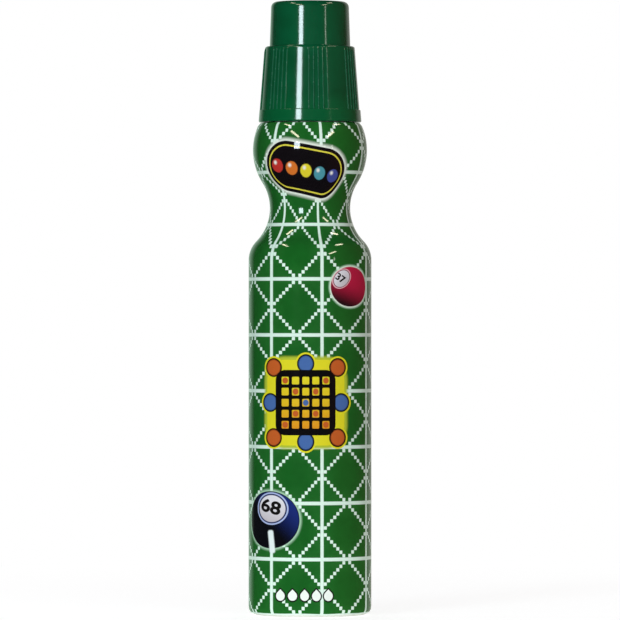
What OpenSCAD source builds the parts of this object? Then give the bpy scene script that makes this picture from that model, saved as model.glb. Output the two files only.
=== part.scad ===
// Bingo dauber: a waisted ink bottle in a printed shrink sleeve, with a spring valve
// under a domed foam nib and a stepped screw cap with grouped grip ribs.
// Millimetres, +Z up, origin on the floor under the middle of the base.

/* [Bottle] */
// Diameter of the straight body, without the sleeve
body_d = 27.7; // [25:0.1:32]
// Height of the straight body, from the floor to the start of the shoulder
straight_h = 81; // [60:0.5:110]
// Diameter of the finger waist, without the sleeve
waist_d = 18; // [16.6:0.1:20]
// Largest diameter of the bulb above the waist, without the sleeve
bulb_d = 25.7; // [24:0.1:30]
// Radius of the rounded shoulder
shoulder_round = 6; // [4:0.1:9]
// Radius of the hollow of the waist
waist_round = 10.9; // [8:0.1:15]
// Radius of the bulb's side, seen in profile
bulb_round = 13.8; // [11:0.1:18]
// Height of the bulb above its widest ring
bulb_rise = 6; // [4:0.1:7]
// Radius of the edge between the bulb and the flat under the cap
bulb_edge_round = 0.5; // [0.2:0.05:1]
// Wall of the bottle
bottle_wall = 1; // [0.7:0.05:1.4]
// Radius of the heel between the base and the body
heel_round = 2; // [1.6:0.1:3]
// Width of the ring that the bottle stands on
foot_ring_w = 1.6; // [1:0.1:3]
// Depth of the hollow under the base
push_up = 1.6; // [0.8:0.1:3]

/* [Neck] */
// Outer diameter of the neck, without its thread
neck_d = 16.2; // [15:0.1:17.4]
// Wall of the neck
neck_wall = 1.4; // [1:0.05:1.8]
// Height of the neck above the bulb
neck_h = 14.1; // [13:0.1:18]
// Radius at the root of the neck
neck_root_round = 1; // [0.4:0.1:1.6]

/* [Sleeve and ink] */
// Thickness of the printed shrink film
film_t = 0.12; // [0.06:0.01:0.3]
// Height of the film's lower edge on the heel
sleeve_rise = 0.7; // [0.4:0.05:1.4]
// Angle to which the film wraps the edge at the top of the bulb
sleeve_wrap = 75; // [40:1:85]
// Height of the ink, from the floor
ink_level = 109.3; // [70:0.1:110]

/* [Nib holder] */
// Length of the plug inside the neck
plug_len = 12; // [11:0.1:14]
// Wall of the plug
plug_wall = 1; // [0.7:0.05:1.3]
// Thickness of the flange that sits on the neck
flange_t = 1.2; // [0.9:0.05:2]
// Height of the collar round the nib, above the flange
collar_h = 4; // [3:0.1:5]
// Wall of the collar
collar_wall = 0.7; // [0.5:0.05:1]
// Depth of the nib's stop below the top of the flange
stop_depth = 0.5; // [0.2:0.05:0.8]
// Distance from the neck's lip down to the web that holds the valve seat
web_depth = 3.5; // [2:0.1:4.5]
// Thickness of that web
web_t = 1.2; // [1:0.05:2]

/* [Valve] */
// Travel of the nib and valve
valve_travel = 1.5; // [0.8:0.1:2]
// Diameter of the hole through the valve seat
port_d = 4.2; // [3.6:0.1:5]
// Diameter of the valve seat at the web's underside
seat_d = 6.4; // [5.8:0.1:7.6]
// Depth of the cone of the seat
seat_h = 0.7; // [0.4:0.05:0.9]
// Thickness of the valve's head below its cone
head_t = 0.9; // [0.6:0.05:1.4]
// Thickness of the four fins of the stem
fin_t = 0.9; // [0.6:0.05:1.2]
// Diameter of the stem's core and snap-in tip
tip_d = 2.4; // [1.8:0.1:2.8]
// Length of the snap-in tip
tip_len = 2.4; // [1.5:0.1:2.8]
// Diameter of the spring, across the middle of its wire
spring_d = 4.9; // [4.4:0.1:5.4]
// Diameter of the spring's wire
wire_d = 0.5; // [0.3:0.05:0.6]
// Turns of the spring
spring_turns = 5.5; // [4:0.5:6]
// Length of the pegs that centre the spring
peg_h = 1.2; // [0.6:0.1:1.6]
// Thickness of the retainer's floor
retainer_floor_t = 1; // [0.7:0.05:1.5]
// Height of the retainer's wall inside the plug
retainer_wall_h = 3; // [2:0.1:4.5]
// Wall of the retainer
retainer_wall = 0.8; // [0.6:0.05:1.2]
// Number of ink ports in the retainer and in the pusher
ports = 6; // [4:1:8]
// Diameter of one ink port
ink_port_d = 1.5; // [0.9:0.1:1.8]

/* [Nib] */
// Diameter of the nib over its cloth
nib_d = 13.6; // [12.6:0.1:14.2]
// Height of the nib
nib_h = 8.05; // [6:0.05:10]
// Radius of the nib's rounded edge
nib_edge_round = 3.2; // [2:0.1:4]
// Radius of the nib's crowned top
nib_crown_round = 18; // [10:0.5:30]
// Thickness of the cloth over the nib
cloth_t = 0.4; // [0.3:0.05:0.6]
// Width of the cloth's hem, folded under the foam
hem_w = 1.6; // [1:0.1:2.4]
// Thickness of the plate under the nib
plate_t = 0.9; // [0.7:0.05:1.4]
// Diameter of the hub under that plate
hub_d = 5.2; // [4.4:0.1:6]
// Length of that hub
hub_h = 2.2; // [1.6:0.1:2.6]

/* [Cap] */
// Wall of the crown, the upper step of the cap
crown_wall = 1.15; // [0.8:0.05:1.6]
// Wall of the skirt at the step
skirt_wall = 1.07; // [0.9:0.01:1.8]
// How much wider the skirt is at its rim than at the step
skirt_flare = 1.33; // [0.6:0.01:2]
// Slope of the crown: how much narrower it is at the top than at the step
crown_draft = 0.36; // [0.1:0.01:0.6]
// Thickness of the cap's top
cap_top_t = 1.3; // [0.9:0.05:2]
// Thickness of the step between skirt and crown
step_t = 1.36; // [1:0.02:2]
// Radius of the edge at the top of the crown
crown_round = 0.9; // [0.5:0.05:1.2]
// Radius of the edge at the top of the skirt
step_round = 0.8; // [0.3:0.05:0.95]
// Chamfer of the rim
rim_chamfer = 0.3; // [0.1:0.05:0.5]
// Height of the smooth band above the rim
band_h = 2.8; // [1.5:0.1:5]
// Height of the flare inside the skirt
inner_flare_h = 4; // [2:0.1:6]
// Wall of the skirt at its rim
rim_wall = 1.25; // [0.9:0.05:1.6]
// Thickness of the sealing washer under the step
gasket_t = 1; // [0.6:0.05:1.6]
// Least width of the washer's seat, between the bores of crown and skirt
seal_w = 1.3; // [1:0.05:2]

/* [Grip ribs] */
// Number of groups of ribs round the cap
rib_groups = 7; // [5:1:8]
// Ribs in one group
ribs_per_group = 5; // [3:1:5]
// Places for ribs between the start of one group and the next
rib_places = 9; // [8:1:12]
// Radius of one rib
rib_round = 0.32; // [0.22:0.01:0.4]
// How far a rib stands out of the skirt
rib_proud = 0.2; // [0.1:0.01:0.2]
// How far the band stands out of the skirt
band_proud = 0.24; // [0.22:0.01:0.4]
// Angle of the first group, from the front
rib_start = -1.5; // [-25:0.5:25]

/* [Clearances] */
// Between the film and the bottle
film_gap = 0.03; // [0.02:0.01:0.1]
// Between the ink and the bottle
ink_gap = 0.08; // [0.04:0.01:0.2]
// Between the plug and the neck, and between the retainer and the plug
plug_fit = 0.04; // [0.02:0.01:0.1]
// Between the valve's cone and its seat, measured upright
seat_gap = 0.06; // [0.04:0.01:0.15]
// Between the stem's fins and the hole of the seat
stem_gap = 0.2; // [0.1:0.05:0.4]
// Between the snap-in tip and its socket
tip_fit = 0.04; // [0.02:0.01:0.1]
// Between the spring and the pegs inside it
peg_gap = 0.3; // [0.2:0.05:0.5]
// Between each end of the spring and its seat
spring_gap = 0.03; // [0.02:0.01:0.1]
// Between the nib and the collar
nib_gap = 0.15; // [0.1:0.05:0.3]
// Between the foam and its cloth
foam_gap = 0.03; // [0.02:0.01:0.1]
// Between the plate and its stop, with the nib pressed in
stop_gap = 0.2; // [0.1:0.05:0.4]
// Between the nib and the cap's ceiling
ceiling_gap = 1.15; // [0.6:0.05:2]
// Between the collar and the cap
crown_gap = 0.4; // [0.3:0.05:0.7]
// Between the neck and the cap's skirt, room for both threads
thread_room = 1.25; // [1.05:0.05:1.6]
// Between the holder's flange and the cap's skirt, so that the cap's thread lifts past the flange
flange_gap = 0.75; // [0.5:0.05:0.9]
// Between the sealing washer and the cap's walls
gasket_fit = 0.05; // [0.03:0.01:0.15]
// Between the cap's rim and the bulb
rim_gap = 0.35; // [0.3:0.05:1]

/* [Hidden] */
$fn = 96;

// Overrun of every cut
over = 0.5;
// Steps along one round of a profile
arc_steps = 14;
// Sides of the wire and rings in each turn of the spring
wire_sides = 6;
rings_per_turn = 8;

// Radii of the bottle
body_r = body_d / 2;
waist_r = waist_d / 2;
bulb_r = bulb_d / 2;
neck_r = neck_d / 2;
neck_bore_r = neck_r - neck_wall;

// The shoulder, waist and bulb are three tangent arcs, so their heights follow from their radii
shoulder_sum = shoulder_round + waist_round;
shoulder_side = shoulder_sum - (body_r - waist_r);
shoulder_up = sqrt(shoulder_sum ^ 2 - shoulder_side ^ 2);
shoulder_turn = atan2(shoulder_up, shoulder_side);
bulb_sum = bulb_round + waist_round;
bulb_side = bulb_sum - (bulb_r - waist_r);
bulb_up = sqrt(bulb_sum ^ 2 - bulb_side ^ 2);
bulb_turn = atan2(bulb_up, bulb_side);
waist_z = straight_h + shoulder_up;
bulb_z = waist_z + bulb_up;
bulb_top_z = bulb_z + bulb_rise;
lip_z = bulb_top_z + neck_h;
edge_turn = asin((bulb_rise - bulb_edge_round) / (bulb_round - bulb_edge_round));

// The hollow under the base is part of a sphere
push_up_r = body_r - heel_round - foot_ring_w;
push_up_round = (push_up_r ^ 2 + push_up ^ 2) / (2 * push_up);
push_up_turn = asin(push_up_r / push_up_round);

// Stack of the nib holder and the nib
plug_r = neck_bore_r - plug_fit;
plug_bore_r = plug_r - plug_wall;
plug_z = lip_z - plug_len;
flange_top_z = lip_z + flange_t;
stop_z = flange_top_z - stop_depth;
web_top_z = lip_z - web_depth;
web_z = web_top_z - web_t;
nib_r = nib_d / 2;
collar_bore_r = nib_r + nib_gap;
collar_r = collar_bore_r + collar_wall;
plate_z = stop_z + stop_gap + valve_travel;
nib_z = plate_z + plate_t;
nib_top_z = nib_z + nib_h;
hub_z = plate_z - hub_h;

// Valve and spring
port_r = port_d / 2;
seat_r = seat_d / 2;
stem_r = port_r - stem_gap;
tip_r = tip_d / 2;
head_top_z = web_z - seat_gap;
head_z = head_top_z - head_t;
spring_r = spring_d / 2;
wire_r = wire_d / 2;
peg_r = spring_r - wire_r - peg_gap;
retainer_r = plug_bore_r - plug_fit;
spring_z = plug_z + wire_r + spring_gap;
spring_len = head_z - wire_r - spring_gap - spring_z;

// Cap
crown_bore_r = collar_r + crown_gap;
crown_r = crown_bore_r + crown_wall;
skirt_bore_r = max(neck_r + thread_room, crown_bore_r + seal_w);
step_r = skirt_bore_r + skirt_wall;
rim_r = step_r + skirt_flare;
rim_z = bulb_top_z + rim_gap;
seal_z = flange_top_z + gasket_t;
step_z = seal_z + step_t;
ceiling_z = nib_top_z + ceiling_gap;
cap_top_z = ceiling_z + cap_top_t;
band_z = rim_z + band_h;
skirt_slope = atan2(skirt_flare, step_z - rim_z);
flange_r = skirt_bore_r - flange_gap;

// Points of an arc round centre c, from angle a0 to angle a1
function arc(c, r, a0, a1, steps = arc_steps) =
    [for (i = [0:steps]) let (a = a0 + (a1 - a0) * i / steps) c + r * [cos(a), sin(a)]];

// The same points from last to first
function reverse(points) = [for (i = [len(points) - 1:-1:0]) points[i]];

// The bottle's side from angle a0 of the heel to angle a1 of the bulb, moved out by d
function side_line(d, a0, a1) = concat(
    arc([body_r - heel_round, heel_round], heel_round + d, a0, 0),
    arc([body_r - shoulder_round, straight_h], shoulder_round + d, 0, shoulder_turn),
    arc([waist_r + waist_round, waist_z], waist_round - d, 180 + shoulder_turn, 180 - bulb_turn),
    arc([bulb_r - bulb_round, bulb_z], bulb_round + d, -bulb_turn, a1));

// The edge at the top of the bulb, from the bulb's side to angle a1, moved out by d
function edge_line(d, a1) =
    arc([bulb_r - bulb_round + (bulb_round - bulb_edge_round) * cos(edge_turn), bulb_top_z - bulb_edge_round],
        bulb_edge_round + d, edge_turn, a1);

// The dome of the base from the axis outwards, moved up by d
function base_line(d) =
    arc([0, push_up - push_up_round], push_up_round + d, 90, 90 - push_up_turn);

// The inside of the bottle, moved in by d, up to the top of the bulb
function cavity_line(d) =
    let (inset = bottle_wall + d)
    concat(
        base_line(inset),
        side_line(-inset, -90, asin((bulb_rise - inset) / (bulb_round - inset))));

// Radius of the cap's skirt, over its band, at height z
function skirt_r(z) = rim_r - (z - rim_z) * tan(skirt_slope);

module bottle() {
    outside = concat(
        base_line(0),
        side_line(0, -90, edge_turn),
        edge_line(0, 90),
        arc([neck_r + neck_root_round, bulb_top_z + neck_root_round], neck_root_round, 270, 180),
        [[neck_r, lip_z], [0, lip_z]]);
    inside = concat(
        cavity_line(0),
        [[neck_bore_r, bulb_top_z - bottle_wall], [neck_bore_r, lip_z + over], [0, lip_z + over]]);
    color("white")
    difference() {
        rotate_extrude() polygon(outside);
        rotate_extrude() polygon(inside);
    }
}

module shrink_sleeve() {
    inner = film_gap;
    outer = film_gap + film_t;
    foot_turn = -asin((heel_round - sleeve_rise) / heel_round);
    color("forestgreen")
    rotate_extrude()
    polygon(concat(
        side_line(outer, foot_turn, edge_turn),
        edge_line(outer, sleeve_wrap),
        reverse(edge_line(inner, sleeve_wrap)),
        reverse(side_line(inner, foot_turn, edge_turn))));
}

module ink_fill() {
    color("darkgreen")
    intersection() {
        rotate_extrude()
        polygon(concat(cavity_line(ink_gap), [[0, bulb_top_z - bottle_wall - ink_gap]]));
        cylinder(r = body_r, h = ink_level);
    }
}

// Ring of ports through a disc, at radius r
module port_ring(r, z, h) {
    for (i = [0:ports - 1])
        rotate(i * 360 / ports)
        translate([r, 0, z - over])
        cylinder(d = ink_port_d, h = h + 2 * over);
}

module nib_holder() {
    color("whitesmoke")
    difference() {
        rotate_extrude()
        polygon([
            [0, web_z], [plug_bore_r, web_z], [plug_bore_r, plug_z], [plug_r, plug_z], [plug_r, lip_z],
            [flange_r, lip_z], [flange_r, flange_top_z], [collar_r, flange_top_z],
            [collar_r, flange_top_z + collar_h], [collar_bore_r, flange_top_z + collar_h],
            [collar_bore_r, stop_z], [plug_bore_r, stop_z], [plug_bore_r, web_top_z], [0, web_top_z]]);
        translate([0, 0, web_z - over])
        cylinder(r = port_r, h = web_t + 2 * over);
        translate([0, 0, web_z])
        cylinder(r1 = seat_r, r2 = port_r, h = seat_h);
    }
}

module spring_retainer() {
    floor_z = plug_z - retainer_floor_t;
    ring_r = (peg_r + retainer_r) / 2;
    color("gainsboro")
    difference() {
        union() {
            translate([0, 0, floor_z])
            cylinder(r = plug_r, h = retainer_floor_t);
            translate([0, 0, floor_z])
            cylinder(r = peg_r, h = retainer_floor_t + peg_h);
            translate([0, 0, floor_z])
            difference() {
                cylinder(r = retainer_r, h = retainer_floor_t + retainer_wall_h);
                cylinder(r = retainer_r - retainer_wall, h = retainer_floor_t + retainer_wall_h + over);
            }
        }
        port_ring(ring_r, floor_z, retainer_floor_t);
    }
}

// Centre of the spring's wire at turn t
function coil_point(t) =
    [spring_r * cos(360 * t), spring_r * sin(360 * t), spring_z + spring_len * t / spring_turns];

module valve_spring() {
    count = round(spring_turns * rings_per_turn);
    centres = [for (i = [0:count]) coil_point(spring_turns * i / count)];
    rings = [for (i = [0:count], k = [0:wire_sides - 1])
        let (t = 360 * spring_turns * i / count, a = 360 * k / wire_sides)
        centres[i] + wire_r * [cos(a) * cos(t), cos(a) * sin(t), sin(a)]];
    walls = [for (i = [0:count - 1], k = [0:wire_sides - 1])
        let (m = (k + 1) % wire_sides, p = i * wire_sides, q = (i + 1) * wire_sides)
        each [[p + k, q + m, q + k], [p + k, p + m, q + m]]];
    last = count * wire_sides;
    ends = [for (k = [1:wire_sides - 2])
        each [[0, k + 1, k], [last, last + k, last + k + 1]]];
    self_gap = min([for (i = [0:count], j = [i + round(rings_per_turn / 2):1:count])
        norm(centres[i] - centres[j])]) - wire_d;
    echo(spring_gap_to_itself_mm = self_gap);
    color("silver")
    polyhedron(rings, concat(walls, ends));
}

module valve_poppet() {
    color("gainsboro")
    union() {
        translate([0, 0, head_z])
        cylinder(r = seat_r, h = head_t);
        translate([0, 0, head_z - peg_h])
        cylinder(r = peg_r, h = peg_h + head_t);
        translate([0, 0, head_top_z])
        cylinder(r1 = seat_r, r2 = port_r, h = seat_h);
        translate([0, 0, head_z])
        cylinder(r = tip_r, h = hub_z + tip_len - head_z);
        intersection() {
            translate([0, 0, head_z])
            cylinder(r = stem_r, h = hub_z - head_z);
            for (a = [0, 90])
                rotate(a)
                translate([-port_r, -fin_t / 2, head_z])
                cube([port_d, fin_t, hub_z - head_z]);
        }
    }
}

module nib_pusher() {
    socket_r = tip_r + tip_fit;
    boss_r = nib_r - hem_w - foam_gap;
    color("gainsboro")
    difference() {
        union() {
            translate([0, 0, plate_z])
            cylinder(r = nib_r, h = plate_t);
            translate([0, 0, plate_z])
            cylinder(r = boss_r, h = plate_t + cloth_t);
            translate([0, 0, hub_z])
            cylinder(d = hub_d, h = hub_h + plate_t);
        }
        translate([0, 0, hub_z - over])
        cylinder(r = socket_r, h = tip_len + tip_fit + over);
        port_ring((hub_d / 2 + boss_r) / 2, plate_z, plate_t + cloth_t);
    }
}

// Half profile of the nib, moved in by d, from its side to the axis: an edge round that meets the crown
function nib_line(d) =
    let (edge_r = nib_r - nib_edge_round,
        crown_z = nib_top_z - nib_crown_round,
        turn = asin(edge_r / (nib_crown_round - nib_edge_round)),
        edge_z = crown_z + (nib_crown_round - nib_edge_round) * cos(turn))
    concat(
        arc([edge_r, edge_z], nib_edge_round - d, 0, 90 - turn),
        arc([0, crown_z], nib_crown_round - d, 90 - turn, 90));

module foam_nib() {
    inset = cloth_t + foam_gap;
    color("honeydew")
    rotate_extrude()
    polygon(concat([[0, nib_z + inset], [nib_r - inset, nib_z + inset]], nib_line(inset)));
}

module nib_cover() {
    color("mintcream")
    rotate_extrude()
    polygon(concat(
        [[nib_r - hem_w, nib_z], [nib_r, nib_z]],
        nib_line(0),
        reverse(nib_line(cloth_t)),
        [[nib_r - cloth_t, nib_z + cloth_t], [nib_r - hem_w, nib_z + cloth_t]]));
}

// One grip rib, lying on the skirt and running into the band
module grip_rib() {
    foot_z = band_z - band_proud;
    top_z = step_z - step_round;
    sunk = band_proud - rib_proud + rib_round;
    translate([skirt_r(foot_z) - sunk, 0, foot_z])
    rotate([0, -skirt_slope, 0])
    cylinder(r = rib_round, h = (top_z - foot_z) / cos(skirt_slope));
}

module cap() {
    panel_r = step_r - band_proud;
    crown_top_r = crown_r - crown_draft;
    outside = concat(
        [[0, rim_z], [rim_r - rim_chamfer, rim_z], [rim_r, rim_z + rim_chamfer],
            [skirt_r(band_z), band_z], [skirt_r(band_z) - band_proud, band_z]],
        arc([panel_r - step_round, step_z - step_round], step_round, 0, 90),
        [[crown_r, step_z]],
        arc([crown_top_r - crown_round, cap_top_z - crown_round], crown_round, 0, 90),
        [[0, cap_top_z]]);
    inside = [
        [0, rim_z - over], [rim_r - rim_wall, rim_z - over], [rim_r - rim_wall, rim_z],
        [skirt_bore_r, rim_z + inner_flare_h], [skirt_bore_r, seal_z], [crown_bore_r, seal_z],
        [crown_bore_r - crown_draft, ceiling_z], [0, ceiling_z]];
    color("darkgreen")
    difference() {
        union() {
            rotate_extrude() polygon(outside);
            for (g = [0:rib_groups - 1], i = [0:ribs_per_group - 1])
                rotate(rib_start - 90 + 360 / rib_groups * (g + i / rib_places))
                grip_rib();
        }
        rotate_extrude() polygon(inside);
    }
}

module cap_gasket() {
    color("ivory")
    rotate_extrude()
    polygon([
        [crown_bore_r + gasket_fit, flange_top_z], [skirt_bore_r - gasket_fit, flange_top_z],
        [skirt_bore_r - gasket_fit, seal_z], [crown_bore_r + gasket_fit, seal_z]]);
}

bottle();
shrink_sleeve();
ink_fill();
nib_holder();
spring_retainer();
valve_spring();
valve_poppet();
nib_pusher();
foam_nib();
nib_cover();
cap();
cap_gasket();
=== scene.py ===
"""Looks of a bingo dauber: an ink bottle in a printed shrink sleeve, with a sprung foam nib and a screw cap.

Sizes are in millimetres and become metres when a mesh is made. The front of the part faces -Y. Angles in
degrees that place something round the part are counted from the front, growing to the right as the front is
seen. Those in radians, at which a mesh is made, are counted from +X.
"""

from __future__ import annotations

import logging
import math
from abc import ABC, abstractmethod
from dataclasses import dataclass, field
from enum import Enum
from itertools import accumulate
from typing import Callable, Iterator, Sequence

import bmesh
import bpy
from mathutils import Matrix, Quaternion, Vector, noise


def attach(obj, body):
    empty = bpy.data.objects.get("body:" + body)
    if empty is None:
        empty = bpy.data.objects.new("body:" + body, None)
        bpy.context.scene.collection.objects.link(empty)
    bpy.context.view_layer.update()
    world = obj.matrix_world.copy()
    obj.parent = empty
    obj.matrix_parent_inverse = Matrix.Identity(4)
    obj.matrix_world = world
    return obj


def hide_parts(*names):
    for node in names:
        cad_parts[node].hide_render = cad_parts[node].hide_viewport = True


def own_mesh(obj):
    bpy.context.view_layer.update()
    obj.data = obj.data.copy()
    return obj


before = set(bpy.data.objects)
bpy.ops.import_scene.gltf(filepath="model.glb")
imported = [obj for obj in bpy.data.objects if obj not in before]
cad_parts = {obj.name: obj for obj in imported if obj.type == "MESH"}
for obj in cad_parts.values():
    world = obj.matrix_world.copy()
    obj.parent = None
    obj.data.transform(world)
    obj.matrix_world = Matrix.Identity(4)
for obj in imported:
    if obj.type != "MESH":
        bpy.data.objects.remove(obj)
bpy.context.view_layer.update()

log = logging.getLogger("dauber")

Point = tuple[float, float]
Corner = tuple[float, float, float]
Place = Callable[[int, float], Point]
Piece = bpy.types.Object
Tree = bpy.types.NodeTree
Socket = bpy.types.NodeSocket
Inputs = dict[int | str, object]
Layer = tuple[Socket, object]

MM = 0.001
FRONT = math.radians(-90)
ON_AXIS = 1e-6
SAME_PLACE = 1e-4
SHARP_ANGLE = math.radians(38)


class Body(Enum):
    """The bodies that pieces ride on."""

    BOTTLE = "bottle_body"
    SEAL = "seal"
    CAP = "cap_body"
    NIB = "nib_body"


class Slot(Enum):
    """The material slots of the pieces made here."""

    BOTTLE = "bottle_hdpe"
    SLEEVE = "sleeve_print"
    HOLDER = "holder_ldpe"
    SPRING = "spring_steel"
    FOAM = "nib_foam"
    CLOTH = "nib_cloth"
    CAP = "cap_pp"
    GASKET = "gasket_foam"


# Outlines and meshes


def smooth_step(low: float, high: float, value: float) -> float:
    """Rises smoothly from 0 at low to 1 at high."""
    share = min(1.0, max(0.0, (value - low) / (high - low)))
    return share * share * (3 - 2 * share)


def polar(r: float, angle: float, z: float) -> Vector:
    """The point at a radius, an angle in radians and a height."""
    return Vector((r * math.cos(angle), r * math.sin(angle), z))


def arc(centre: Point, radius: float, start: float, end: float, steps: int = 12) -> list[Point]:
    """Points of an arc.

    Args:
        centre: The arc's centre, as radius and height.
        radius: The arc's radius.
        start: The first angle in degrees, 0 pointing outwards and 90 up.
        end: The last angle in degrees.
        steps: The number of chords.

    Returns:
        The points from the first angle to the last.
    """
    angles = [math.radians(start + (end - start) * i / steps) for i in range(steps + 1)]
    return [(centre[0] + radius * math.cos(a), centre[1] + radius * math.sin(a)) for a in angles]


def rounded(corners: Sequence[Corner], steps: int = 5, hold: float = 0.06) -> list[Point]:
    """A closed outline with a fillet at each corner.

    Args:
        corners: Radius, height and fillet of each corner, in order.
        steps: The number of chords in one fillet.
        hold: Distance of the extra points beside a fillet, which keep the shading of the straights flat.

    Returns:
        The outline's points.
    """
    longest_reach, longest_hold = 0.44, 0.04  # shares of the shorter side at a corner
    outline: list[Point] = []
    for i, (r, z, fillet) in enumerate(corners):
        here = Vector((r, z))
        back = Vector(corners[i - 1][:2]) - here
        ahead = Vector(corners[(i + 1) % len(corners)][:2]) - here
        if fillet <= 0:
            outline.append((r, z))
            continue
        half = back.angle(ahead) / 2
        shorter = min(back.length, ahead.length)
        reach = min(fillet / math.tan(half), longest_reach * shorter)
        bisector = (back.normalized() + ahead.normalized()).normalized()
        centre = here + bisector * reach / math.cos(half)
        first = here + back.normalized() * reach - centre
        last = here + ahead.normalized() * reach - centre
        swing = first.angle_signed(last)
        held = reach + min(hold, longest_hold * shorter)
        outline.append(tuple(here + back.normalized() * held))
        for k in range(steps + 1):
            cos, sin = math.cos(-swing * k / steps), math.sin(-swing * k / steps)
            outline.append((
                centre.x + first.x * cos - first.y * sin,
                centre.y + first.x * sin + first.y * cos,
            ))
        outline.append(tuple(here + ahead.normalized() * held))
    return outline


def lengths_along(points: Sequence[Point]) -> list[float]:
    """Length along a line at each of its points."""
    return [0.0, *accumulate(math.dist(a, b) for a, b in zip(points, points[1:]))]


def evenly(points: Sequence[Point], step: float) -> list[Point]:
    """Spaces points evenly along a line.

    Args:
        points: The line's corners.
        step: The wanted spacing.

    Returns:
        The new points, with the line's two ends kept.
    """
    run = lengths_along(points)
    count = math.ceil(run[-1] / step)
    made: list[Point] = []
    k = 0
    for i in range(count):
        wanted = run[-1] * i / count
        while run[k + 1] < wanted:
            k += 1
        share = (wanted - run[k]) / (run[k + 1] - run[k])
        (r0, z0), (r1, z1) = points[k], points[k + 1]
        made.append((r0 + (r1 - r0) * share, z0 + (z1 - z0) * share))
    return [*made, points[-1]]


def without_repeats(points: Sequence[Point]) -> list[Point]:
    """Drops points that lie on the one before.

    Args:
        points: The points of a line.

    Returns:
        The points that are left.
    """
    kept = [points[0]]
    for point in points[1:]:
        if math.dist(point, kept[-1]) > SAME_PLACE:
            kept.append(point)
    return kept


def new_piece(name: str, mesh: bpy.types.Mesh) -> Piece:
    """Links a smooth-shaded mesh to the scene, with its sharp corners kept.

    Args:
        name: The piece's name.
        mesh: Its mesh.

    Returns:
        The new object.
    """
    mesh.shade_smooth()
    mesh.set_sharp_from_angle(angle=SHARP_ANGLE)
    piece = bpy.data.objects.new(name, mesh)
    bpy.context.scene.collection.objects.link(piece)
    return piece


def even_columns(count: int, start: float = 0.0) -> list[float]:
    """Angles spaced evenly round the axis, in radians."""
    return [start + math.tau * k / count for k in range(count)]


def lathe(name: str, rows: int, columns: Sequence[float], place: Place) -> Piece:
    """Turns a closed outline round the axis.

    Args:
        name: The piece's name.
        rows: The number of points in the outline, which runs up outside and down inside.
        columns: The angles of the mesh's columns, in radians.
        place: Gives the radius and height of a row at an angle in radians.

    Returns:
        The new object.
    """
    segments = len(columns)
    vertices: list[Vector] = []
    rings: list[list[int]] = []
    for row in range(rows):
        count = 1 if place(row, columns[0])[0] < ON_AXIS else segments
        ring = []
        for angle in columns[:count]:
            r, z = place(row, angle)
            ring.append(len(vertices))
            vertices.append(polar(r, angle, z) * MM)
        rings.append(ring)
    faces: list[tuple[int, ...]] = []
    for row in range(rows):
        low, high = rings[row], rings[(row + 1) % rows]
        for k in range(segments):
            m = (k + 1) % segments
            if len(low) > 1 and len(high) > 1:
                faces.append((low[k], low[m], high[m], high[k]))
            elif len(high) > 1:
                faces.append((low[0], high[m], high[k]))
            elif len(low) > 1:
                faces.append((low[k], low[m], high[0]))
    mesh = bpy.data.meshes.new(name)
    mesh.from_pydata(vertices, [], faces)
    mesh.validate()
    return new_piece(name, mesh)


def turned(name: str, outline: Sequence[Point], segments: int = 128) -> Piece:
    """Turns a plain outline round the axis.

    Args:
        name: The piece's name.
        outline: Its points, up outside and down inside.
        segments: The number of faces round the axis.

    Returns:
        The new object.
    """
    return lathe(name, len(outline), even_columns(segments), lambda row, angle: outline[row])


def sweep(name: str, paths: Sequence[Sequence[Sequence[Vector]]]) -> Piece:
    """Joins rings of points into closed tubes.

    Args:
        name: The piece's name.
        paths: One list of rings for each tube, in millimetres, with as many points in every ring.

    Returns:
        The new object.
    """
    made = bmesh.new()
    for rings in paths:
        rows = [[made.verts.new(point * MM) for point in ring] for ring in rings]
        for low, high in zip(rows, rows[1:]):
            for k in range(len(low)):
                m = (k + 1) % len(low)
                made.faces.new((low[k], low[m], high[m], high[k]))
        made.faces.new(list(reversed(rows[0])))
        made.faces.new(rows[-1])
    bmesh.ops.recalc_face_normals(made, faces=made.faces)
    mesh = bpy.data.meshes.new(name)
    made.to_mesh(mesh)
    made.free()
    return new_piece(name, mesh)


def fit(piece: Piece, material: bpy.types.Material, body: Body, slot: Slot, *nodes: str) -> None:
    """Gives a piece its finish, the body it rides on and the CAD nodes that it stands for.

    Args:
        piece: The piece.
        material: Its finish.
        body: The body it moves with.
        slot: The record's material slot; not used.
        nodes: The CAD nodes that it replaces.
    """
    piece.data.materials.clear()
    piece.data.materials.append(material)
    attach(piece, body.value)
    if nodes:
        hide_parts(*nodes)
    log.info("made %s with %d faces in %s", piece.name, len(piece.data.polygons), material.name)


# Finishes


def linear(hex_colour: str) -> tuple[float, float, float, float]:
    """Turns an sRGB hex value to a linear colour.

    Args:
        hex_colour: The value, such as #1d6a24.

    Returns:
        Red, green, blue and a full alpha.
    """
    parts = [int(hex_colour[i:i + 2], 16) / 255 for i in (1, 3, 5)]
    r, g, b = (c / 12.92 if c <= 0.04045 else ((c + 0.055) / 1.055) ** 2.4 for c in parts)
    return (r, g, b, 1.0)


def add(tree: Tree, kind: str, inputs: Inputs, out: int | str = 0, **settings: object) -> Socket:
    """Adds a node with its settings, links and constants.

    Args:
        tree: The node tree.
        kind: The node's type name.
        inputs: For each input, by index or name, a socket to link or a constant.
        out: The output that is wanted, by index or name.
        settings: Attributes of the node.

    Returns:
        That output, or None from the node that ends a tree.
    """
    node = tree.nodes.new(kind)
    for name, value in settings.items():
        setattr(node, name, value)
    for key, value in inputs.items():
        if isinstance(value, Socket):
            tree.links.new(value, node.inputs[key])
        else:
            node.inputs[key].default_value = value
    return node.outputs[out] if node.outputs else None


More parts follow.
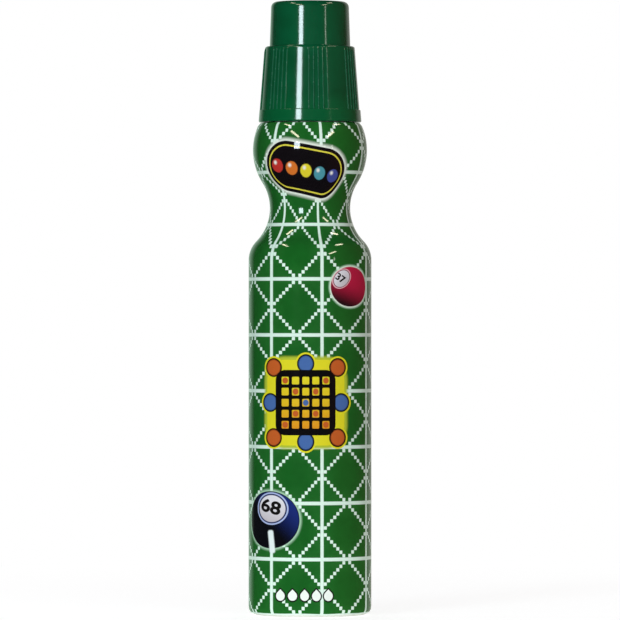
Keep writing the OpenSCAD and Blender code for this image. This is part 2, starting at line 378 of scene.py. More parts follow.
MATH = "ShaderNodeMath"
VECTOR = "ShaderNodeVectorMath"
RANGE = "ShaderNodeMapRange"
BLEND = "ShaderNodeMixRGB"
NOISE = "ShaderNodeTexNoise"
BUMP = "ShaderNodeBump"
SPLIT = "ShaderNodeSeparateXYZ"
COORDINATES = "ShaderNodeTexCoord"
RAY = "ShaderNodeLightPath"
SMOOTH = {"interpolation_type": "SMOOTHSTEP"}


@dataclass(frozen=True)
class Finish(ABC):
    """A material, made once and named for what it is and how its surface was made."""

    name: str
    colour: str
    ior: float
    roughness: float

    @abstractmethod
    def sockets(self, tree: Tree) -> Inputs:
        """Adds the finish's own nodes.

        Args:
            tree: The node tree.

        Returns:
            What is set on the shader, by socket name.
        """

    def make(self) -> bpy.types.Material:
        """Makes the Blender material at the first call.

        Returns:
            The material.
        """
        known = bpy.data.materials.get(self.name)
        if known:
            return known
        material = bpy.data.materials.new(self.name)
        material.use_nodes = True
        tree = material.node_tree
        tree.nodes.clear()
        wanted = {"Base Color": linear(self.colour), "IOR": self.ior, "Roughness": self.roughness}
        wanted.update(self.sockets(tree))
        shader = add(tree, "ShaderNodeBsdfPrincipled", wanted)
        add(tree, "ShaderNodeOutputMaterial", {"Surface": shader})
        return material


# Most of a cloudy field lies between these two values.
CLOUD_LOW, CLOUD_HIGH = 0.3, 0.7
# The lowest and highest roughness of an uneven gloss, as shares of the finish's own.
GLOSS_LOW, GLOSS_HIGH = 0.7, 1.4


def cloudy(tree: Tree, size_mm: float, detail: float = 2.0, span: Point | None = None) -> Socket:
    """A cloudy field over the piece, from 0 to 1 or with its middle stretched over a span.

    Args:
        tree: The node tree.
        size_mm: The size of one cloud.
        detail: The number of finer layers.
        span: The values for the low and high end of the field's middle, if it is stretched.

    Returns:
        The field.
    """
    place = add(tree, COORDINATES, {}, out="Object")
    plain = add(tree, NOISE, {"Vector": place, "Scale": 1 / (size_mm * MM), "Detail": detail}, out=0)
    if span is None:
        return plain
    return add(tree, RANGE, {0: plain, 1: CLOUD_LOW, 2: CLOUD_HIGH, 3: span[0], 4: span[1]})


@dataclass(frozen=True)
class MouldedPlastic(Finish):
    """Moulded plastic: even colour with slow clouds, patchy gloss and a finely uneven skin."""

    cloud: str
    cloud_mm: float = 6.0
    roughness_swing: float = 0.05
    gloss_mm: float = 2.25
    skin_mm: float = 0.9
    skin_depth_mm: float = 0.004
    shine: float = 0.5
    glow: float = 0.0
    glow_depth_mm: float = 1.0

    def sockets(self, tree: Tree) -> Inputs:
        """Clouded colour, uneven gloss and a moulded skin.

        Args:
            tree: The node tree.

        Returns:
            What is set on the shader, by socket name.
        """
        clouds = cloudy(tree, self.cloud_mm, 3.0, (0.0, 1.0))
        colour = add(tree, BLEND, {0: clouds, 1: linear(self.colour), 2: linear(self.cloud)})
        low, high = self.roughness - self.roughness_swing, self.roughness + self.roughness_swing
        gloss = cloudy(tree, self.gloss_mm, 4.0, (low, high))
        relief = cloudy(tree, self.skin_mm)
        skin = add(tree, BUMP, {"Strength": 1.0, "Distance": self.skin_depth_mm * MM, "Height": relief})
        wanted: Inputs = {
            "Base Color": colour,
            "Roughness": gloss,
            "Normal": skin,
            "Specular IOR Level": self.shine,
        }
        if self.glow > 0:
            wanted["Subsurface Weight"] = self.glow
            wanted["Subsurface Radius"] = (1.0, 1.0, 1.0)
            wanted["Subsurface Scale"] = self.glow_depth_mm * MM
        return wanted


@dataclass(frozen=True)
class RubbedSheenPlastic(MouldedPlastic):
    """Moulded plastic of a ribbed skirt: duller on worn ribs, with a painted paler sheen on their crests and
    a painted glow that lightens it towards the rim.

    The plain skirt's lower and upper ends are given as radius and height.
    """

    # Colour painted on the rib crests: a painted paler sheen that stands in for the glints along them; the
    # roughness below is the wear.
    painted_crest_sheen: str = "#1c6a4c"
    rubbed_roughness: float = 0.3
    # Lighter colour painted towards the rim: painted light, as if shining through the wall.
    painted_rim_glow: str = "#045a31"
    low_mm: Point = field(kw_only=True)
    high_mm: Point = field(kw_only=True)
    rub_sheen_from_mm: float = 0.08
    rub_sheen_to_mm: float = 0.16
    rub_sheen_patch_mm: float = 1.6
    rub_sheen_least: float = 0.55
    rim_glow_h_mm: float = 4.0

    def sockets(self, tree: Tree) -> Inputs:
        """The moulded surface, duller where it stands out of the plain skirt, with a painted sheen there and
        a painted glow towards the rim.

        Args:
            tree: The node tree.

        Returns:
            What is set on the shader, by socket name.
        """
        wanted = super().sockets(tree)
        place = add(tree, COORDINATES, {}, out="Object")
        level = add(tree, VECTOR, {0: place, 1: (1.0, 1.0, 0.0)}, operation="MULTIPLY")
        r = add(tree, VECTOR, {0: level}, out="Value", operation="LENGTH")
        z = add(tree, SPLIT, {0: place}, out="Z")
        (low_r, low_z), (high_r, high_z) = self.low_mm, self.high_mm
        plain = add(tree, RANGE, {0: z, 1: low_z * MM, 2: high_z * MM, 3: low_r * MM, 4: high_r * MM})
        proud = add(tree, MATH, {0: r, 1: plain}, operation="SUBTRACT")
        rub_sheen_from, rub_sheen_to = self.rub_sheen_from_mm * MM, self.rub_sheen_to_mm * MM
        crest = add(tree, RANGE, {0: proud, 1: rub_sheen_from, 2: rub_sheen_to, 3: 0.0, 4: 1.0})
        above = add(tree, MATH, {0: z, 1: low_z * MM}, operation="GREATER_THAN")
        crest = add(tree, MATH, {0: crest, 1: above}, operation="MULTIPLY")
        patchy = cloudy(tree, self.rub_sheen_patch_mm, 3.0, (self.rub_sheen_least, 1.0))
        # One mask for the crests: it makes them duller and paints them paler as a painted sheen.
        rub_sheen = add(tree, MATH, {0: crest, 1: patchy}, operation="MULTIPLY")
        # Painted light: the colour grows lighter towards the rim.
        rim_glow_top_z = low_z + self.rim_glow_h_mm
        painted_rim_glow = add(tree, RANGE, {0: z, 1: low_z * MM, 2: rim_glow_top_z * MM, 3: 1.0, 4: 0.0})
        colour = add(tree, BLEND, {0: painted_rim_glow, 1: wanted["Base Color"], 2: linear(self.painted_rim_glow)})
        # Painted highlight: the crests take the paler colour.
        wanted["Base Color"] = add(tree, BLEND, {0: rub_sheen, 1: colour, 2: linear(self.painted_crest_sheen)})
        wanted["Roughness"] = add(
            tree, RANGE, {0: rub_sheen, 1: 0.0, 2: 1.0, 3: wanted["Roughness"], 4: self.rubbed_roughness}
        )
        return wanted


@dataclass(frozen=True)
class DrawnSteel(Finish):
    """Cold-drawn stainless wire: bright, with finely uneven gloss along it."""

    patch_mm: float = 0.12

    def sockets(self, tree: Tree) -> Inputs:
        """Metal with an uneven gloss.

        Args:
            tree: The node tree.

        Returns:
            What is set on the shader, by socket name.
        """
        gloss = cloudy(tree, self.patch_mm, 1.0, (self.roughness * GLOSS_LOW, self.roughness * GLOSS_HIGH))
        return {"Metallic": 1.0, "Roughness": gloss}


@dataclass(frozen=True)
class WovenCloth(Finish):
    """Plain-woven polyester soaked with ink: thread relief, paler raised threads, sheen and wet clouds."""

    stain: str = "#4f8f5c"
    stain_mm: float = 4.0
    stain_span: Point = (0.15, 0.85)
    thread_mm: float = 0.6
    thread_shade: Point = (0.72, 1.08)
    relief_mm: float = 0.03
    relief_strength: float = 0.8
    sheen: float = 0.25
    sheen_roughness: float = 0.4

    def sockets(self, tree: Tree) -> Inputs:
        """Stained threads with relief, drawn about twice as coarse as the real ones, so that they show.

        Args:
            tree: The node tree.

        Returns:
            What is set on the shader, by socket name.
        """
        cloth = add(tree, "ShaderNodeUVMap", {}, uv_map="Cloth")
        across = add(tree, VECTOR, {0: cloth, "Scale": 1 / self.thread_mm}, operation="SCALE")
        waves = add(tree, VECTOR, {0: across, 1: (math.tau, math.tau, 0.0)}, operation="MULTIPLY")
        both = add(tree, VECTOR, {0: waves}, operation="SINE")
        x, y = (add(tree, SPLIT, {0: both}, out=axis) for axis in "XY")
        weave = add(tree, MATH, {0: x, 1: y}, operation="MULTIPLY")
        wet = cloudy(tree, self.stain_mm, 3.0, self.stain_span)
        inked = add(tree, BLEND, {0: wet, 1: linear(self.colour), 2: linear(self.stain)})
        low, high = self.thread_shade
        shade = add(tree, RANGE, {0: weave, 1: -1.0, 2: 1.0, 3: low, 4: high})
        colour = add(tree, BLEND, {0: 1.0, 1: inked, 2: shade}, blend_type="MULTIPLY")
        depth = self.relief_mm * MM
        relief = add(tree, BUMP, {"Strength": self.relief_strength, "Distance": depth, "Height": weave})
        return {
            "Base Color": colour,
            "Normal": relief,
            "Sheen Weight": self.sheen,
            "Sheen Roughness": self.sheen_roughness,
        }


@dataclass(frozen=True)
class OpenFoam(Finish):
    """Open-cell foam: matt, with pores painted darker than a paler net, as painted shade in them."""

    painted_pore_shade: str = "#8fae93"
    pore_mm: float = 0.45
    pore_edge: Point = (0.15, 0.55)
    pore_depth_mm: float = 0.12
    relief_strength: float = 0.9

    def sockets(self, tree: Tree) -> Inputs:
        """Pores in relief, with painted shade in them.

        Args:
            tree: The node tree.

        Returns:
            What is set on the shader, by socket name.
        """
        place = add(tree, COORDINATES, {}, out="Object")
        per_pore = 1 / (self.pore_mm * MM)
        cells = add(tree, "ShaderNodeTexVoronoi", {"Vector": place, "Scale": per_pore}, out="Distance")
        low, high = self.pore_edge
        net = add(tree, RANGE, {0: cells, 1: low, 2: high, 3: 0.0, 4: 1.0})
        # Painted shade: the pores are coloured darker than the net for the shade inside them.
        colour = add(tree, BLEND, {0: net, 1: linear(self.painted_pore_shade), 2: linear(self.colour)})
        depth = self.pore_depth_mm * MM
        relief = add(tree, BUMP, {"Strength": self.relief_strength, "Distance": depth, "Height": net})
        return {"Base Color": colour, "Normal": relief}


@dataclass(frozen=True)
class DyeInk(Finish):
    """Dye in water: clear, deep green and wet."""

    clear: float = 0.6
    swirl: str = "#12552a"
    swirl_mm: float = 9.0

    def sockets(self, tree: Tree) -> Inputs:
        """A clear liquid with slow swirls of colour.

        Args:
            tree: The node tree.

        Returns:
            What is set on the shader, by socket name.
        """
        swirls = cloudy(tree, self.swirl_mm, 2.0, (0.0, 1.0))
        colour = add(tree, BLEND, {0: swirls, 1: linear(self.colour), 2: linear(self.swirl)})
        return {"Base Color": colour, "Transmission Weight": self.clear}


@dataclass(frozen=True)
class PrintingInk(Finish):
    """Flexo ink under film gloss: opaque, with a slight mottle."""

    mottle: str
    mottle_mm: float = 0.5
    mottle_share: float = 0.1

    def sockets(self, tree: Tree) -> Inputs:
        """A faintly mottled solid ink.

        Args:
            tree: The node tree.

        Returns:
            What is set on the shader, by socket name.
        """
        spots = cloudy(tree, self.mottle_mm, 2.0, (0.0, self.mottle_share))
        return {"Base Color": add(tree, BLEND, {0: spots, 1: linear(self.colour), 2: linear(self.mottle)})}


# The print of the sleeve

# Whole numbers in a node tree that differ by less than this are the same.
SAME_COUNT = 0.1
# Corner and edge of a tile that cuts a pattern off between two of its shapes.
CUT_OFF = (0.1, 0.02)


def lay_ink(tree: Tree, below: object, mask: Socket, ink: object) -> Socket:
    """One ink over what is printed below it.

    Args:
        tree: The node tree.
        below: The colour below.
        mask: Where the ink lies, from 0 to 1.
        ink: The ink, as a hex value or a colour socket.

    Returns:
        The new colour.
    """
    colour = linear(ink) if isinstance(ink, str) else ink
    return add(tree, BLEND, {0: mask, 1: below, 2: colour})


def spot(tree: Tree, film: Socket, centre: Point, radius: float, soft: float = 0.06) -> Socket:
    """Mask of a round spot on the film.

    Args:
        tree: The node tree.
        film: The film's flat place in millimetres.
        centre: The spot's centre.
        radius: Its radius.
        soft: Half the width of its edge.

    Returns:
        The mask.
    """
    off = add(tree, VECTOR, {0: film, 1: (*centre, 0.0)}, out="Value", operation="DISTANCE")
    return add(tree, RANGE, {0: off, 1: radius - soft, 2: radius + soft, 3: 1.0, 4: 0.0}, **SMOOTH)


def tile(tree: Tree, film: Socket, half: Point, corner: float, soft: float = 0.06) -> Socket:
    """Mask of a tile with round corners.

    Args:
        tree: The node tree.
        film: The film's flat place, counted from the tile's centre.
        half: Half the tile's width and height.
        corner: The radius of its corners.
        soft: Half the width of its edge.

    Returns:
        The mask.
    """
    folded = add(tree, VECTOR, {0: film}, operation="ABSOLUTE")
    core = (half[0] - corner, half[1] - corner, 0.0)
    past = add(tree, VECTOR, {0: folded, 1: core}, operation="SUBTRACT")
    outside = add(tree, VECTOR, {0: past, 1: (0.0, 0.0, 0.0)}, operation="MAXIMUM")
    off = add(tree, VECTOR, {0: outside}, out="Value", operation="LENGTH")
    return add(tree, RANGE, {0: off, 1: corner - soft, 2: corner + soft, 3: 1.0, 4: 0.0}, **SMOOTH)


def placed(tree: Tree, film: Socket, centre: Point, half: Point = (1.0, 1.0), tilt: float = 0.0) -> Socket:
    """A motif's own coordinates on the film.

    Args:
        tree: The node tree.
        film: The film's flat place in millimetres.
        centre: The motif's centre.
        half: The lengths that become 1, along and across.
        tilt: The motif's turn to the left, in degrees.

    Returns:
        The place counted from the centre, in those lengths.
    """
    wanted = {
        "Vector": film,
        "Location": (*centre, 0.0),
        "Rotation": (0.0, 0.0, math.radians(tilt)),
        "Scale": (*half, 1.0),
    }
    return add(tree, "ShaderNodeMapping", wanted, vector_type="TEXTURE")


@dataclass(frozen=True)
class Lattice:
    """White lattice of stepped diamonds on green: solid lines round and along, square dots between them."""

    wrap_mm: float
    cells_round: int = 7
    steps: int = 16
    line_angle: float = 10.45
    cell_h: float = 12.698
    first_line: float = 0.456
    line_half: float = 0.5
    dot_half: float = 0.47
    dot_power: float = 7.0
    soft: float = 0.07
    white: str = "#e6fff0"
    ground: str = "#1a6423"
    ground_by_lines: str = "#26702c"
    mottle: str = "#15561d"
    mottle_mm: float = 2.2
    mottle_share: float = 0.35
    by_line_share: float = 0.6

    def lay(self, tree: Tree, film: Socket) -> Socket:
        """Prints the ground and the lattice.

        Args:
            tree: The node tree.
            film: The film's flat place in millimetres.

        Returns:
            The printed colour.
        """
        step_w = self.wrap_mm / self.cells_round / self.steps
        step_h = self.cell_h / self.steps
        first_u = self.line_angle / 360 * self.wrap_mm
        crossing = (first_u, self.first_line, 0.0)
        shifted = add(tree, VECTOR, {0: film, 1: crossing}, operation="SUBTRACT")
        per_step = (1 / step_w, 1 / step_h, 0.0)
        in_steps = add(tree, VECTOR, {0: shifted, 1: per_step}, operation="MULTIPLY")
        half_cell = self.steps / 2
        off, index, bulge = [], [], []
        for axis in "XY":
            along = add(tree, SPLIT, {0: in_steps}, out=axis)
            off.append(add(tree, MATH, {0: along, 1: half_cell}, operation="PINGPONG"))
            index.append(add(tree, MATH, {0: off[-1]}, operation="ROUND"))
            inside = add(tree, MATH, {0: off[-1], 1: index[-1]}, operation="SUBTRACT")
            size = add(tree, MATH, {0: inside}, operation="ABSOLUTE")
            bulge.append(add(tree, MATH, {0: size, 1: self.dot_power}, operation="POWER"))
        nearest = add(tree, MATH, {0: off[0], 1: off[1]}, operation="MINIMUM")
        low, high = self.line_half - self.soft, self.line_half + self.soft
        lines = add(tree, RANGE, {0: nearest, 1: low, 2: high, 3: 1.0, 4: 0.0})
        place = add(tree, MATH, {0: index[0], 1: index[1]}, operation="ADD")
        diagonal = add(tree, MATH, {0: place, 1: half_cell, 2: SAME_COUNT}, operation="COMPARE")
        blob = add(tree, MATH, {0: bulge[0], 1: bulge[1]}, operation="ADD")
        low, high = ((self.dot_half + way * self.soft) ** self.dot_power for way in (-1, 1))
        dots = add(tree, RANGE, {0: blob, 1: low, 2: high, 3: 1.0, 4: 0.0})
        dotted = add(tree, MATH, {0: dots, 1: diagonal}, operation="MULTIPLY")
        white = add(tree, MATH, {0: lines, 1: dotted}, operation="MAXIMUM")
        reach = half_cell * self.by_line_share
        by_line = add(tree, RANGE, {0: nearest, 1: 0.0, 2: reach, 3: 1.0, 4: 0.0})
        ground = lay_ink(tree, linear(self.ground), by_line, self.ground_by_lines)
        clouds = cloudy(tree, self.mottle_mm, 3.0, (0.0, self.mottle_share))
        ground = lay_ink(tree, ground, clouds, self.mottle)
        return lay_ink(tree, ground, white, self.white)


@dataclass(frozen=True)
class Motif(ABC):
    """Something that is printed over the lattice in layers of ink."""

    centre: Point

    @abstractmethod
    def layers(self, tree: Tree, film: Socket) -> Iterator[Layer]:
        """The motif's layers, from the lowest up.

        Args:
            tree: The node tree.
            film: The film's flat place in millimetres.

        Yields:
            The mask of each layer and its ink.
        """


@dataclass(frozen=True)
class NumberBall(Motif):
    """A printed bingo ball: a shaded oval with a ringed white patch for its number and a pale glow."""

    half: Point
    lit: str
    shade: str
    light_from: Point
    lit_from: float
    lit_to: float
    patch_centre: Point
    patch_half: Point
    patch_tilt: float
    rings: tuple[tuple[float, str], ...]
    outline: str
    outline_w: float
    glow: str = "#c9f3d2"
    glow_w: float = 0.085
    edge_soft: float = 0.012
    skin_soft: float = 0.015
    patch: str = "#e9e8ee"
    patch_shade: str = "#cdc6cc"
    patch_fade: Point = (-0.8, 0.5)
    patch_share: float = 0.83
    patch_soft: float = 0.02
    # The shine is a painted reflection of a lamp on the film, laid in with the print.
    shine: tuple[float, float, float, float] | None = None
    painted_reflection_ink: str = "#eefaf8"
    painted_reflection_tilt: float = 6.0
    painted_reflection_soft: float = 0.03
    painted_reflection_corner: float = 0.7

    def layers(self, tree: Tree, film: Socket) -> Iterator[Layer]:
        """Glow, outline, skin, painted reflection and patch.

        Args:
            tree: The node tree.
            film: The film's flat place in millimetres.

        Yields:
            The mask of each layer and its ink.
        """
        middle = (0.0, 0.0)
        ball = placed(tree, film, self.centre, self.half)
        yield spot(tree, ball, middle, 1 + self.glow_w / 2, self.glow_w), self.glow
        yield spot(tree, ball, middle, 1.0, self.edge_soft), self.outline
        light = (*self.light_from, 0.0)
        slope = add(tree, VECTOR, {0: ball, 1: light}, out="Value", operation="DOT_PRODUCT")
        lit = add(tree, RANGE, {0: slope, 1: self.lit_from, 2: self.lit_to, 3: 0.0, 4: 1.0}, **SMOOTH)
        skin = add(tree, BLEND, {0: lit, 1: linear(self.shade), 2: linear(self.lit)})
        yield spot(tree, ball, middle, 1 - self.outline_w, self.skin_soft), skin
        # Painted reflection: a white streak over the ball.
        if self.shine:
            x, y, width, height = self.shine
            painted_reflection = placed(tree, ball, (x, y), tilt=self.painted_reflection_tilt)
            corner = width * self.painted_reflection_corner
            yield tile(tree, painted_reflection, (width, height), corner, self.painted_reflection_soft), self.painted_reflection_ink
        patch = placed(tree, film, self.patch_centre, self.patch_half, self.patch_tilt)
        for radius, ink in self.rings:
            yield spot(tree, patch, middle, radius, self.patch_soft), ink
        height = add(tree, SPLIT, {0: patch}, out="Y")
        low, high = self.patch_fade
        shadow = add(tree, RANGE, {0: height, 1: low, 2: high, 3: 0.0, 4: 1.0})
        white = add(tree, BLEND, {0: shadow, 1: linear(self.patch_shade), 2: linear(self.patch)})
        yield spot(tree, patch, middle, self.patch_share, self.patch_soft), white


# The eight places round a square, counted from its middle.
ROUND_A_SQUARE = ((1, 0), (1, 1), (0, 1), (-1, 1), (-1, 0), (-1, -1), (0, -1), (1, -1))


@dataclass(frozen=True)
class CardTile(Motif):
    """A printed bingo card: a black tile of yellow squares with a cross of daubs, in a yellow frame."""

    half: float = 7.4
    corner: float = 2.4
    frame_w: float = 2.3
    cells: int = 5
    pitch: float = 2.5
    cell_half: float = 0.86
    cell_corner: float = 0.25
    daub_r: float = 0.7
    daub_soft: float = 0.1
    rim_daub_r: float = 1.75
    rim_daub_soft: float = 0.25
    rim_line: float = 0.4
    rim_share: float = 0.62
    corner_inset: float = 0.9
    edge_soft: float = 0.06
    frame_soft: float = 0.08
    glow_w: float = 0.75
    glow_soft: float = 0.45
    black: str = "#0d0b0c"
    yellow: str = "#e8e02a"
    glow: str = "#b9c83a"
    amber: str = "#e8961f"
    orange: str = "#c9622a"
    blue: str = "#4a6fae"

    def layers(self, tree: Tree, film: Socket) -> Iterator[Layer]:
        """Frame with its daubs, black tile, squares and the cross of daubs.

        Args:
            tree: The node tree.
            film: The film's flat place in millimetres.

        Yields:
            The mask of each layer and its ink.
        """
        local = placed(tree, film, self.centre)
        for grow, ink, soft in (
            (self.glow_w, self.glow, self.glow_soft),
            (0.0, self.yellow, self.frame_soft),
        ):
            side = self.half + self.frame_w + grow
            yield tile(tree, local, (side, side), self.corner + self.frame_w + grow, soft), ink
        reach = self.half + self.frame_w * self.rim_share
        for i, (x, y) in enumerate(ROUND_A_SQUARE):
            inset = self.corner_inset if x and y else 1.0
            centre = (self.centre[0] + x * reach * inset, self.centre[1] + y * reach * inset)
            for grow, ink, soft in (
                (2 * self.rim_line, self.yellow, self.edge_soft),
                (self.rim_line, self.black, self.edge_soft),
                (0.0, self.orange if i % 2 else self.blue, self.rim_daub_soft),
            ):
                yield spot(tree, film, centre, self.rim_daub_r + grow, soft), ink
        yield tile(tree, local, (self.half, self.half), self.corner), self.black
        grid_half = self.cells * self.pitch / 2
        grid = tile(tree, local, (grid_half, grid_half), *CUT_OFF)
        half_pitch = self.pitch / 2
        cell = add(
            tree,
            VECTOR,
            {0: local, 1: (half_pitch, half_pitch, 1.0), 2: (-half_pitch, -half_pitch, -1.0)},
            operation="WRAP",
        )
        square = tile(tree, cell, (self.cell_half, self.cell_half), self.cell_corner)
        squares = add(tree, MATH, {0: square, 1: grid}, operation="MULTIPLY")
        height = add(tree, SPLIT, {0: local}, out="Y")
        fade = add(tree, RANGE, {0: height, 1: -grid_half, 2: grid_half, 3: 0.0, 4: 1.0})
        ramp = add(tree, BLEND, {0: fade, 1: linear(self.amber), 2: linear(self.yellow)})
        yield squares, ramp
        folded = add(tree, VECTOR, {0: local}, operation="ABSOLUTE")
        per_cell = (1 / self.pitch, 1 / self.pitch, 0.0)
        counted = add(tree, VECTOR, {0: folded, 1: per_cell}, operation="MULTIPLY")
        column, row = (
            add(tree, MATH, {0: add(tree, SPLIT, {0: counted}, out=axis)}, operation="ROUND") for axis in "XY"
        )
        cross = add(tree, MATH, {0: column, 1: row, 2: SAME_COUNT}, operation="COMPARE")
        cross = add(tree, MATH, {0: cross, 1: grid}, operation="MULTIPLY")
        daub = spot(tree, cell, (0.0, 0.0), self.daub_r, self.daub_soft)
        yield add(tree, MATH, {0: daub, 1: cross}, operation="MULTIPLY"), self.orange
        yield spot(tree, film, self.centre, self.daub_r, self.daub_soft), self.blue


@dataclass(frozen=True)
class DaubPlaque(Motif):
    """A printed black plaque with a yellow line, a white glow and a row of coloured daubs."""

    half: Point = (11.3, 6.0)
    tilt: float = -9.0
    roundness: float = 0.98
    glow_half: float = 0.6
    edge_soft: float = 0.06
    line_in: float = 0.8
    line_w: float = 0.35
    line_soft: float = 0.05
    daub_pitch: float = 4.0
    daub_r: float = 1.6
    daub_soft: float = 0.16
    sheen_at: Point = (-0.35, 0.4)
    sheen_r: float = 0.42
    sheen_soft: float = 0.3
    sheen: str = "#f2f2e8"
    black: str = "#100c10"
    glow: str = "#eef6ea"
    line: str = "#e3d94a"
    daubs: tuple[str, ...] = ("#c3352f", "#d9752c", "#e3d432", "#4f9aa8", "#44509c")

    def layers(self, tree: Tree, film: Socket) -> Iterator[Layer]:
        """Glow, plaque, line, and the daubs with their shine.

        Args:
            tree: The node tree.
            film: The film's flat place in millimetres.

        Yields:
            The mask of each layer and its ink.
        """
        level = placed(tree, film, self.centre, tilt=self.tilt)
        for grow, ink, soft in (
            (self.glow_half, self.glow, self.glow_half),
            (0.0, self.black, self.edge_soft),
            (-self.line_in, self.line, self.line_soft),
            (-self.line_in - self.line_w, self.black, self.line_soft),
        ):
            half = (self.half[0] + grow, self.half[1] + grow)
            yield tile(tree, level, half, half[1] * self.roundness, soft), ink
        middle = (len(self.daubs) - 1) / 2
        for i, ink in enumerate(self.daubs):
            place = ((i - middle) * self.daub_pitch, 0.0)
            yield spot(tree, level, place, self.daub_r, self.daub_soft), ink
            shine = (place[0] + self.daub_r * self.sheen_at[0], self.daub_r * self.sheen_at[1])
            yield spot(tree, level, shine, self.sheen_r, self.sheen_soft), self.sheen


@dataclass(frozen=True)
class InkDrops(Motif):
    """A printed row of white ink drops with black outlines."""

    count: int = 5
    pitch: float = 2.95
    radius: float = 1.08
    drop_low: float = 0.32
    outline_w: float = 0.32
    tip_round: float = 0.12
    tip_grow: float = 0.8
    white: str = "#f6fff6"
    black: str = "#141412"

    def layers(self, tree: Tree, film: Socket) -> Iterator[Layer]:
        """Outline and drop: each a disc with the corner of a square as its tip.

        Args:
            tree: The node tree.
            film: The film's flat place in millimetres.

        Yields:
            The mask of each layer and its ink.
        """
        local = placed(tree, film, (self.centre[0], self.centre[1] - self.drop_low))
        row = tile(tree, local, (self.count * self.pitch / 2, self.pitch * 2), *CUT_OFF)
        half, tall = self.pitch / 2, 100.0
        cell = add(
            tree, VECTOR, {0: local, 1: (half, tall, 1.0), 2: (-half, -tall, -1.0)}, operation="WRAP"
        )
        tip = placed(tree, cell, (0.0, self.radius / math.sqrt(2)), tilt=45.0)
        for grow, ink in ((self.outline_w, self.black), (0.0, self.white)):
            disc = spot(tree, cell, (0.0, 0.0), self.radius + grow)
            side = self.radius / 2 + grow
            point = tile(tree, tip, (side, side), self.tip_round + grow * self.tip_grow)
            drop = add(tree, MATH, {0: disc, 1: point}, operation="MAXIMUM")
            yield add(tree, MATH, {0: drop, 1: row}, operation="MULTIPLY"), ink


@dataclass(frozen=True)
class PrintedFilm(Finish):
    """Clear shrink film printed on its inner face: a wet, even gloss over the inks, with slow ripples."""

    lattice: Lattice
    motifs: tuple[Motif, ...]
    ripple_mm: float = 7.0
    ripple_depth_mm: float = 0.02
    gloss_mm: float = 3.0
    shine: float = 0.5
    dull_at_mm: tuple[float, float, float] = (-3.2, -13.6, 81.3)
    dull_r_mm: float = 3.0
    dull_end_mm: float = 4.2

    def sockets(self, tree: Tree) -> Inputs:
        """All inks under a rippled gloss, with a rubbed, dull spot where the film bends over the shoulder.

        Args:
            tree: The node tree.

        Returns:
            What is set on the shader, by socket name.
        """
        film = add(tree, "ShaderNodeUVMap", {}, uv_map="Print")
        colour = self.lattice.lay(tree, film)
        for motif in self.motifs:
            for mask, ink in motif.layers(tree, film):
                colour = lay_ink(tree, colour, mask, ink)
        waves = cloudy(tree, self.ripple_mm, 1.5)
        ripple = add(tree, BUMP, {"Strength": 1.0, "Distance": self.ripple_depth_mm * MM, "Height": waves})
        gloss = cloudy(tree, self.gloss_mm, 3.0, (self.roughness * GLOSS_LOW, self.roughness * GLOSS_HIGH))
        place = add(tree, COORDINATES, {}, out="Object")
        centre = tuple(c * MM for c in self.dull_at_mm)
        off = add(tree, VECTOR, {0: place, 1: centre}, out="Value", operation="DISTANCE")
        dull, bright = self.dull_r_mm * MM, self.dull_end_mm * MM
        shine = add(tree, RANGE, {0: off, 1: dull, 2: bright, 3: 0.0, 4: self.shine})
        return {"Base Color": colour, "Roughness": gloss, "Normal": ripple, "Specular IOR Level": shine}


# Blown against a cool mould: satin and a little wavy, with light that enters the wall.
BOTTLE_PLASTIC = MouldedPlastic(
    "HDPE, blow moulded, white",
    "#e9ece6",
    ior=1.54,
    roughness=0.42,
    cloud="#dfe3db",
    skin_depth_mm=0.01,
    glow=0.2,
)
# Undyed and soft: milky, with a waxy gloss.
HOLDER_PLASTIC = MouldedPlastic(
    "LDPE, injection moulded, natural", "#e4e8e0", ior=1.51, roughness=0.36, cloud="#d6dfd2", glow=0.3
)
# Hard and dense: opaque white with a cleaner gloss.
VALVE_PLASTIC = MouldedPlastic(
    "Acetal, injection moulded, white", "#dfe1dc", ior=1.48, roughness=0.28, cloud="#d2d6cf"
)
# Drawn through a die: bright lines of light along the wire.
SPRING_STEEL = DrawnSteel("Stainless steel, cold drawn wire", "#b9bcbc", ior=1.5, roughness=0.24)
# Soaked from below: pale threads that catch the light between green, wet clouds.
NIB_CLOTH = WovenCloth("Polyester, plain woven, inked", "#a9cfae", ior=1.5, roughness=0.75)
# Cut from a block: matt, with open pores.
NIB_FOAM = OpenFoam("Polyurethane foam, open cell", "#cfe3d0", ior=1.5, roughness=0.9)
# Stamped from sheet: nearly smooth, with shallow closed pores.
GASKET_FOAM = OpenFoam(
    "Polyethylene foam, die cut",
    "#eceae2",
    ior=1.5,
    roughness=0.7,
    painted_pore_shade="#d5d2c6",
    pore_mm=0.3,
    pore_depth_mm=0.03,
)
# A dye in water: deep green, clear at thin edges.
INK = DyeInk("Dye ink, green", "#0c4a20", ior=1.34, roughness=0.05)
# A thin solid ink: deep black with a slight bloom.
BLACK_INK = PrintingInk("Flexo ink, black", "#141312", ior=1.5, roughness=0.2, mottle="#2a2826")


# Bottle and sleeve


@dataclass
class Assembly:
    """A sub-assembly, with the pieces that it has built."""

    pieces: list[Piece] = field(default_factory=list, init=False)


@dataclass(frozen=True)
class ArcStretch:
    """An arc of the bottle's side."""

    centre: Point
    radius: float
    start: float
    end: float
    hollow: bool = False

    @property
    def length(self) -> float:
        """Length along the arc."""
        return self.radius * math.radians(abs(self.end - self.start))

    def point(self, share: float, lift: float) -> Point:
        """The point at a share of the arc.

        Args:
            share: The share, from 0 at the start to 1 at the end.
            lift: Distance off the side.

        Returns:
            The radius and height.
        """
        radius = self.radius - lift if self.hollow else self.radius + lift
        angle = math.radians(self.start + (self.end - self.start) * share)
        return (self.centre[0] + radius * math.cos(angle), self.centre[1] + radius * math.sin(angle))


